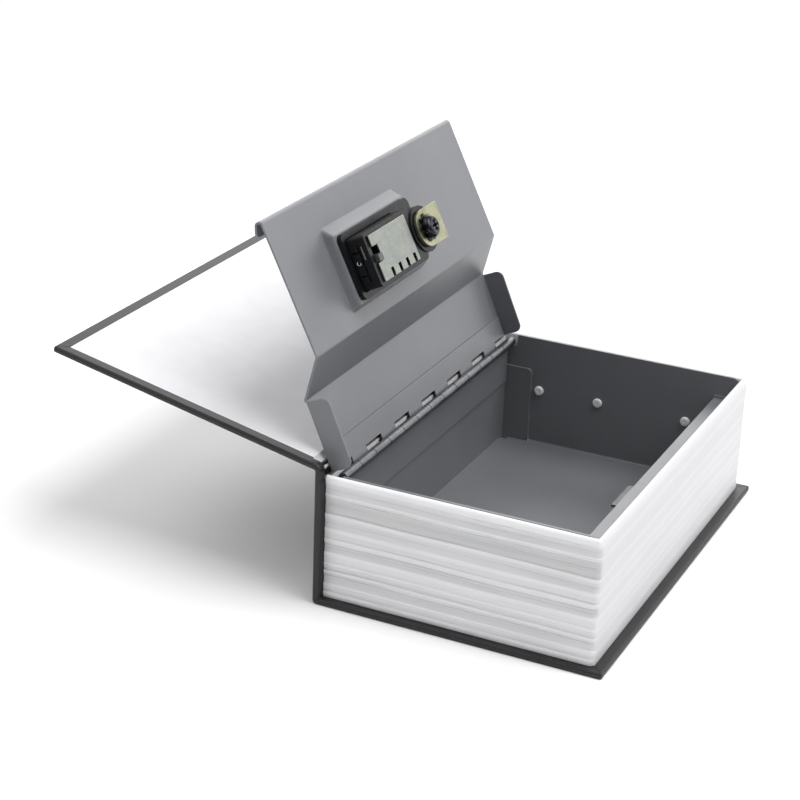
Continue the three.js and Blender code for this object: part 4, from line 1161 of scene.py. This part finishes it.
class OBJECT_OT_safe_hinge(bpy.types.Operator):
    """Makes the piano hinge with its rolled knuckles"""

    bl_idname = "object.safe_hinge"
    bl_label = "Piano Hinge"

    def execute(self, context):
        middle = BARREL_RADIUS - LEAF_SHEET / 2
        over = arc(middle, 180 - KNUCKLE_WRAP_DEG, KNUCKLE_WRAP_DEG, LEAF_STEPS)
        tray_path = over + [Vector((-middle, -SLOT_REACH)), Vector((-middle, -TRAY_LEAF))]
        round_back = arc(middle, 90 + KNUCKLE_WRAP_DEG, -KNUCKLE_WRAP_DEG, LEAF_STEPS)
        lid_path = round_back + [Vector((SLOT_REACH, middle)), Vector((LID_LEAF, middle))]
        for node, path, axes, body, first in (
            ("tray_hinge_leaf", tray_path, HINGE, "box", 0),
            ("lid_hinge_leaf", lid_path, LID, "lid", 1),
        ):
            shape = leaf_sheet(path, LEAF_STEPS + 1, *span_y(node), first)
            leaf = sheet_object(node + "_rolled", shape, axes, drawn_hinge_steel, LEAF_SHEET)
            break_edges(leaf, LEAF_EDGE)
            paint_leaf(leaf)
            dress(leaf, body, "hinge_steel", node)
        low, high = span_y("hinge_pin")
        tip = PIN_RADIUS - PIN_EDGE
        profile = [(0.0, low), (tip, low), (PIN_RADIUS, low + PIN_EDGE)]
        pin = lathe(profile + [(PIN_RADIUS, high - PIN_EDGE), (tip, high), (0.0, high)], 24)
        pin.transform(Matrix.Rotation(-math.pi / 2, 4, "X"))
        dress(object_of("hinge_pin_wire", pin, HINGE, drawn_hinge_steel), "box", "hinge_steel", "hinge_pin")
        return {"FINISHED"}


# The folded lid


def ramp(distance, draft):
    """1 at the pan's floor, 0 outside it, with rounded bends at both ends of the slope."""
    share = distance / draft
    blend = min(0.45, PAN_FILLET / draft)
    if share < -blend:
        return 1.0
    if share > 1 + blend:
        return 0.0
    if share < blend:
        return 1 - (share + blend) ** 2 / (4 * blend)
    if share > 1 - blend:
        return (1 + blend - share) ** 2 / (4 * blend)
    return 1 - share


def ramp_stations(edge, side, draft):
    """Places where a grid needs points to follow a ramp that starts at an edge."""
    blend = min(0.45, PAN_FILLET / draft)
    bend = [-blend, -blend / 2, 0, blend / 2, blend]
    return [edge + side * draft * share for share in bend + [0.5] + [1 + share for share in bend]]


def pan_drop(u, y):
    """Depth of the pan below the lock panel at a place, from its centre."""
    half_u, half_y = PAN_FLOOR[0] / 2 - PAN_INSET, PAN_FLOOR[1] / 2 - PAN_INSET
    hinge_side, free_side, end_draft = PAN_DRAFTS
    across = ramp(u - half_u, free_side) if u > 0 else ramp(-u - half_u, hinge_side)
    return PAN_DEPTH * across * ramp(abs(y - PAN_CENTRE_Y) - half_y, end_draft)


def lid_section():
    """Corners of the lid's section, and points along it with those that the pan, lip and tabs need."""
    corners = walk((LID_START, LID_MIDDLE), LID_LEGS)
    path = rounded_path(corners[:-1], LID_BEND_RADIUS, 8)[:-1]
    path += rounded_path(corners[-3:], LID_BEND_RADIUS, 14)[1:]
    panel = (corners[3] - corners[2]).normalized()
    half = PAN_FLOOR[0] / 2 - PAN_INSET
    stations = ramp_stations(half, 1, PAN_DRAFTS[1]) + ramp_stations(-half, -1, PAN_DRAFTS[0]) + [0]
    places = [corners[2] + panel * (LOCK_U + u) for u in stations]
    last = (corners[4] - corners[3]).normalized()
    for k in range(6):
        places.append(corners[4] - last * LIP_CORNER_RADIUS * (1 - math.cos(math.pi / 2 * k / 6 + 0.001)))
    tab = LID_TAB_STATIONS + (LID_TAB_END - LID_TAB_RADIUS, LID_TAB_END)
    for place in places + [Vector((x, LID_MIDDLE)) for x in tab]:
        path = with_point(path, place)
    return corners, path


def with_point(path, place):
    """The path with one more point, where it lies on one of its sides."""
    for i, (a, b) in enumerate(zip(path, path[1:])):
        if (a - place).length + (place - b).length - (a - b).length < 1e-4:
            if min((a - place).length, (place - b).length) > 1e-3:
                return path[:i + 1] + [place] + path[i + 1:]
            return path
    return path


def lid_shape():
    """Middle surface of the lid: folded panels with the pan, and a tab at each end of the first panel."""
    corners, path = lid_section()
    panel = (corners[3] - corners[2]).normalized()
    out = Vector((-panel.y, panel.x))
    half_y = PAN_FLOOR[1] / 2 - PAN_INSET
    flat = LID_HALF - LID_SHEET / 2 - LID_TAB_BEND
    lip = LID_HALF - LIP_CORNER_RADIUS
    stations = set(steps_between(-flat, flat, LID_STATION))
    for side in (1, -1):
        stations |= set(ramp_stations(PAN_CENTRE_Y + side * half_y, side, PAN_DRAFTS[2]))
        stations |= {side * LID_HALF, side * (LID_HALF - LIP_CORNER_STATION), side * lip}
    stations = sorted(stations)
    points = []
    for y in stations:
        for point in path:
            u = (point - corners[2]).dot(panel)
            level = (point - corners[2]).dot(out)
            place = point - out * (pan_drop(u - LOCK_U, y) if abs(level) < NEAR else 0)
            short = LIP_CORNER_RADIUS - (corners[4] - point).length
            reach = LID_HALF
            if short > 0:
                reach = lip + math.sqrt(max(0.0, LIP_CORNER_RADIUS ** 2 - short ** 2))
            points.append((place.x, math.copysign(min(abs(y), reach), y), place.y))

    def keep(i, j):
        beyond = abs(stations[i] + stations[i + 1]) / 2 > flat
        return not (beyond and path[j + 1].x < LID_TAB_END + 1e-3)

    faces = grid(len(stations), len(path), keep=keep)
    for side in (-1, 1):
        add_tab(points, faces, [p.x for p in path if p.x < LID_TAB_END + 1e-3], flat, side)
    return mesh_of(points, faces)


def add_tab(points, faces, columns, flat, side):
    """Adds the middle surface of a tab that folds down from the end of the first panel."""
    low = LID_MIDDLE - LID_SHEET / 2 - LID_TAB_DEPTH
    wall = flat + LID_TAB_BEND
    rows = [(wall - LID_TAB_BEND * short, LID_MIDDLE - LID_TAB_BEND * off, 0.0) for off, short in quarter(6)]
    rows += [(wall, low + LID_TAB_RADIUS * short, LID_TAB_RADIUS * off) for off, short in quarter(6)]
    faces += grid(len(rows), len(columns), base=len(points))
    for y, z, inset in rows:
        points += [(min(max(x, LID_START + inset), LID_TAB_END - inset), side * y, z) for x in columns]


class OBJECT_OT_safe_lid(bpy.types.Operator):
    """Makes the folded steel lid with the pan that holds the lock"""

    bl_idname = "object.safe_lid"
    bl_label = "Folded Lid"

    def execute(self, context):
        lid = sheet_object("lid_panel_pressed", lid_shape(), LID, baked_powder_coat, LID_SHEET)
        half = BODY_WIDTH / 2 + BODY_FIT
        outline = rounded_rectangle(-half, half, BODY_Y[0] - BODY_FIT, BODY_Y[1] + BODY_FIT, BODY_CORNER)
        for hole in (prism(outline, *CUT_LEVELS), disc(BOSS_RADIUS + BODY_FIT, KNOB_Y, *CUT_LEVELS)):
            cut(lid, hole, LOCK, baked_powder_coat)
        break_edges(lid, sizes().steel_edge / MM)
        dress(lid, "lid", "grey_powder_coat", "lid_panel")
        return {"FINISHED"}


# The lock


def spring_curl(near):
    """The end of a round wire that curls out of the housing's near end."""
    x, z, radius = CURL
    turns = [math.radians(20 * k) for k in range(15)]
    path = [Vector((x + radius * math.cos(turn), near - 0.1, z + radius * math.sin(turn))) for turn in turns]
    path.append(path[-1] + Vector((0.2, 1.5, 0.1)))
    curve = bpy.data.curves.new("spring_curl", "CURVE")
    curve.dimensions = "3D"
    curve.bevel_depth = CURL_WIRE
    curve.bevel_resolution = 3
    curve.use_fill_caps = True
    line = curve.splines.new("POLY")
    line.points.add(len(path) - 1)
    for point, place in zip(line.points, path):
        point.co = (*place, 1.0)
    return drawn(curve)


class OBJECT_OT_safe_lock(bpy.types.Operator):
    """Makes the lock's housing, collar, plate, lever and hidden works"""

    bl_idname = "object.safe_lock"
    bl_label = "Combination Lock"

    def execute(self, context):
        near = BODY_Y[0]
        housing = softened_node("lock_housing", LOCK, moulded_black_abs, "lid", "black_plastic", 0.3)
        for x0, x1, z0, z1 in END_SLOTS:
            corners = ((x0, z0), (x1, z0), (x1, z1), (x0, z1))
            slot = loft([[(x, y, z) for x, z in corners] for y in (near - 1, near + 0.9)])
            cut(housing, slot, LOCK, moulded_black_abs)
        weighted(housing)
        dress(object_of("spring_curl", spring_curl(near), LOCK, bare_spring_wire), "lid", "zinc")
        sliver = prism(rounded_rectangle(*SLIVER_X, near - 0.35, near + 1.5, SLOT_CORNER), *SLIVER_LEVELS)
        dress(object_of("end_plate_sliver", sliver, LOCK, yellow_passivated_zinc), "lid", "zinc")
        softened_node("lock_frame", LOCK, moulded_black_abs, "lid", "black_plastic", 0.45, 3)
        plate = softened_node("lock_back_plate", LOCK, passivated_zinc_plate, "lid", "zinc", 0.15)
        for i in range(4):
            middle = PLATE_SLOT_Y - PLATE_SLOT_PITCH * i
            ends = (middle - PLATE_SLOT_HALF, middle + PLATE_SLOT_HALF)
            slot = prism(rounded_rectangle(*PLATE_SLOT_X, *ends, SLOT_CORNER), *PLATE_SLOT_LEVELS)
            cut(plate, slot, LOCK, passivated_zinc_plate)
        weighted(plate)
        softened_node("reset_lever", LOCK, dark_electrocoat, "lever", "dark_steel", 0.25)
        works = ("dial_axle", "blocking_bar", "click_spring", "code_ring_1", "code_ring_2", "code_ring_3")
        for node in works:
            finish_node(node, passivated_zinc_plate)
        return {"FINISHED"}


class OBJECT_OT_safe_dials(bpy.types.Operator):
    """Makes the numbered dials"""

    bl_idname = "object.safe_dials"
    bl_label = "Dials"

    def execute(self, context):
        for i in (1, 2, 3):
            node = "dial_wheel_%d" % i
            axes = dial_axes(node)
            wheel = object_of(node + "_turned", dial_wheel(), axes, polished_black_abs)
            dress(weighted(wheel), "dial_%d" % i, "dial_plastic", node)
            for digit in range(DIAL_DIGITS):
                mark = object_of("%s_digit_%d" % (node, digit), digit_shape(digit), axes, wiped_white_enamel)
                dress(mark, "dial_%d" % i, "dial_plastic")
        return {"FINISHED"}


def dial_axes(node):
    """A dial's own axes: Z along the book, Y out of the lid."""
    low, high = map(Vector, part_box(node))
    place = Vector(JOINTS[node.replace("_wheel", "") + "_turn"]["pos_m"])
    place.y = ((low + high) / 2).y
    out = LOCK.to_3x3() @ Vector((0, 0, 1))
    along = Vector((0, 1, 0))
    return axes_at(place, out.cross(along), out, along)


def dial_wheel():
    """A wheel with ten flat lands between notches, and rounded shoulders."""
    half = DIAL_WIDTH / 2
    step, sink = DIAL_SHOULDER
    rings = []
    for level, short in ((-half, sink), (-half + step, 0.0), (half - step, 0.0), (half, sink)):
        ring = []
        for digit in range(DIAL_DIGITS):
            for offset, radius in LAND:
                turn = math.radians(90 + digit * 360 / DIAL_DIGITS + offset)
                ring.append(((radius - short) * math.cos(turn), (radius - short) * math.sin(turn), level))
        rings.append(ring)
    wheel = object_of("wheel_blank", loft(rings), Matrix(), polished_black_abs)
    cut(wheel, disc(DIAL_HOLE, 0, -half - 1, half + 1), Matrix(), polished_black_abs)
    shape = in_mm(wheel.data)
    bpy.data.objects.remove(wheel)
    return shape


def digit_shape(digit):
    """One painted number, standing just clear of the floor of its engraving on its land."""
    text = bpy.data.curves.new("digit", "FONT")
    text.body = str(digit)
    text.size = sizes().digit_height / MM * DIGIT_SCALE
    text.align_x = "CENTER"
    text.align_y = "CENTER"
    text.extrude = DIGIT_RELIEF
    shape = drawn(text)
    bmesh.ops.remove_doubles(shape, verts=shape.verts, dist=1e-4)
    turn = Matrix.Rotation(math.radians(-digit * 360 / DIAL_DIGITS), 4, "Z")
    out, along = Vector((0, 1, 0)), Vector((0, 0, 1))
    shape.transform(turn @ axes_at((0, LAND_HEIGHT + DIGIT_LIFT, 0), along, out.cross(along), out))
    return shape


class OBJECT_OT_safe_knob(bpy.types.Operator):
    """Makes the knob, its spindle, the cam, the star washer and the screw"""

    bl_idname = "object.safe_knob"
    bl_label = "Knob and Cam"

    def execute(self, context):
        softened_node("lock_knob", LOCK, moulded_black_abs, "knob", "black_plastic", 0.5, 3)
        finish_node("knob_spindle", passivated_zinc_plate)
        softened_node("cam", LOCK, yellow_passivated_zinc, "knob", "zinc", 0.15)
        washer = object_of("star_washer_toothed", star_washer(), LOCK, black_oxide_steel)
        dress(washer, "knob", "black_steel", "star_washer")
        screw = object_of("cam_screw_turned", cam_screw(), LOCK, black_oxide_steel)
        for across, along in ((CROSS_WIDTH / 2, CROSS_SPAN / 2), (CROSS_SPAN / 2, CROSS_WIDTH / 2)):
            outline = rounded_rectangle(-across, across, KNOB_Y - along, KNOB_Y + along, 0.3)
            cut(screw, prism(outline, SCREW_LOW - 1, SCREW_LOW + CROSS_DEPTH), LOCK, black_oxide_steel)
        dress(screw, "knob", "black_steel", "cam_screw")
        return {"FINISHED"}


def lock_levels(node):
    """Lowest and highest level of a node in the lock's axes."""
    shape = from_frame(node, LOCK)
    levels = [vert.co.z for vert in shape.verts]
    shape.free()
    return min(levels), max(levels)


def star_washer():
    """A toothed lock washer whose teeth are twisted out of its plane."""
    low, high = lock_levels("star_washer")
    middle, half = (low + high) / 2, (high - low) / 2
    count = WASHER_TEETH * TOOTH_STEPS
    points, faces = [], []
    for k in range(count):
        turn = 2 * math.pi * k / count
        wave = 2 * math.pi * (k % TOOTH_STEPS) / TOOTH_STEPS
        for radius, tilt in WASHER_RINGS:
            reach = radius - tilt * WASHER_LOBE * (1 - math.cos(wave)) / 2
            lift = tilt * half * 0.5 * math.sin(wave)
            for side in (-1, 1):
                level = middle + side * half * (0.45 if tilt else 0.6) + lift
                points.append((reach * math.cos(turn), KNOB_Y + reach * math.sin(turn), level))
        a, b = k * 6, (k + 1) % count * 6
        for near, far in ((0, 2), (2, 4)):
            faces.append((a + near, a + far, b + far, b + near))
            faces.append((a + near + 1, b + near + 1, b + far + 1, a + far + 1))
        faces += [(a, b, b + 1, a + 1), (a + 4, a + 5, b + 5, b + 4)]
    return mesh_of(points, faces)


def cam_screw():
    """A pan-head screw, its head towards the box."""
    low, high = lock_levels("cam_screw")
    head = low + SCREW_HEAD
    profile = [(0.0, low)]
    profile += [(SCREW_RADIUS - SCREW_CROWN * short, low + SCREW_CROWN * off) for off, short in quarter(8)]
    profile += [(SCREW_RADIUS, head - 0.15), (SCREW_RADIUS - 0.15, head), (SCREW_SHANK, head)]
    profile += [(SCREW_SHANK, high - 0.4), (SCREW_SHANK - 0.4, high), (0.0, high)]
    return lathe(profile, 48, KNOB_Y)


# The stage


def softbox(name, watts, size, place):
    """A large soft lamp that faces the safe."""
    lamp = bpy.data.lights.new(name, "AREA")
    lamp.shape = "RECTANGLE"
    lamp.size, lamp.size_y = size
    lamp.energy = watts
    holder = linked(name, lamp)
    away = Vector(place) - Vector(SOFTBOX_AIM)
    holder.matrix_world = Matrix.Translation(place) @ away.to_track_quat("Z", "Y").to_matrix().to_4x4()
    return holder


def photo_camera():
    """The camera: 93 mm lens, a little above the safe and to the right of its spine."""
    camera = bpy.data.cameras.new("camera")
    camera.lens = CAMERA_LENS
    camera.sensor_width = CAMERA_SENSOR
    holder = linked("camera", camera)
    yaw, pitch, roll = CAMERA_TURN
    look = Vector((math.sin(yaw) * math.cos(pitch), math.cos(yaw) * math.cos(pitch), -math.sin(pitch)))
    level = Vector((math.cos(yaw), -math.sin(yaw), 0))
    up = level.cross(look)
    right = math.cos(roll) * level + math.sin(roll) * up
    top = -math.sin(roll) * level + math.cos(roll) * up
    holder.matrix_world = axes_at(CAMERA_PLACE, right, top, -look)
    return holder


def surroundings(scene, strength):
    """Even room light, seen as white by the camera."""
    scene.world = bpy.data.worlds.new("studio")
    add = empty_tree(scene.world)
    room, white = (add("Background", {"Color": grey(1.0), "Strength": value}) for value in (strength, 1.0))
    both = add("MixShader", {0: add("LightPath").outputs["Is Camera Ray"], 1: room, 2: white})
    add("OutputWorld", {"Surface": both})


def matt_paper_sweep(add, place):
    """Matt white paper sweep, even and without gloss, lost for the camera in the white behind it."""
    base = bpy.context.scene.safe_stage.floor
    near, far = FLOOR_FADE
    sheet = add("BsdfDiffuse", {"Color": mottle(add, place, 2, shade(base, 0.995), shade(base, 1.0))})
    away = add("VectorMath", {0: place}, operation="LENGTH")
    limits = {"Value": away, "From Min": near, "From Max": far}
    fade = add("MapRange", limits, interpolation_type="SMOOTHSTEP")
    seen = add("Math", {0: fade, 1: add("LightPath").outputs["Is Camera Ray"]}, operation="MULTIPLY")
    add("OutputMaterial", {"Surface": add("MixShader", {0: seen, 1: sheet, 2: add("BsdfTransparent")})})


class OBJECT_OT_safe_stage(bpy.types.Operator):
    """Makes the floor, the lamps, the surroundings and the camera"""

    bl_idname = "object.safe_stage"
    bl_label = "Stage"

    def execute(self, context):
        settings = context.scene.safe_stage
        corners = [(x * FLOOR_HALF, y * FLOOR_HALF, 0) for x, y in ((-1, -1), (1, -1), (1, 1), (-1, 1))]
        floor = object_of("floor", mesh_of(corners, [(0, 1, 2, 3)]), Matrix(), matt_paper_sweep)
        lamps = [
            softbox(name + "_softbox", getattr(settings, name + "_light"), size, place)
            for name, (size, place) in SOFTBOXES.items()
        ]
        surroundings(context.scene, settings.room_light)
        context.scene.camera = photo_camera()
        context.scene.view_settings.view_transform = "Standard"
        return {"FINISHED"}


# Panel and registration


class VIEW3D_PT_book_safe(bpy.types.Panel):
    """Lists the settings and the steps that make the safe"""

    bl_label = "Book Safe"
    bl_idname = "VIEW3D_PT_book_safe"
    bl_space_type = "VIEW_3D"
    bl_region_type = "UI"
    bl_category = "Book Safe"

    def draw(self, context):
        for group in SETTINGS:
            box = self.layout.box()
            for name in SETTINGS[group].__annotations__:
                box.prop(getattr(context.scene, group), name)
        for step in STEPS:
            self.layout.operator(step.bl_idname)


SETTINGS = {"safe_colours": SafeColours, "safe_sizes": SafeSizes, "safe_stage": SafeStage}
STEPS = (
    OBJECT_OT_safe_case,
    OBJECT_OT_safe_pages,
    OBJECT_OT_safe_tray,
    OBJECT_OT_safe_hinge,
    OBJECT_OT_safe_lid,
    OBJECT_OT_safe_lock,
    OBJECT_OT_safe_dials,
    OBJECT_OT_safe_knob,
    OBJECT_OT_safe_stage,
)
CLASSES = (*SETTINGS.values(), *STEPS, VIEW3D_PT_book_safe)


def register():
    for item in CLASSES:
        bpy.utils.register_class(item)
    for name, group in SETTINGS.items():
        setattr(bpy.types.Scene, name, bpy.props.PointerProperty(type=group))


def unregister():
    for name in SETTINGS:
        delattr(bpy.types.Scene, name)
    for item in reversed(CLASSES):
        bpy.utils.unregister_class(item)


def main():
    register()
    bpy.ops.object.safe_case()
    bpy.ops.object.safe_pages()
    bpy.ops.object.safe_tray()
    bpy.ops.object.safe_hinge()
    bpy.ops.object.safe_lid()
    bpy.ops.object.safe_lock()
    bpy.ops.object.safe_dials()
    bpy.ops.object.safe_knob()
    bpy.ops.object.safe_stage()


if __name__ == "__main__":
    main()
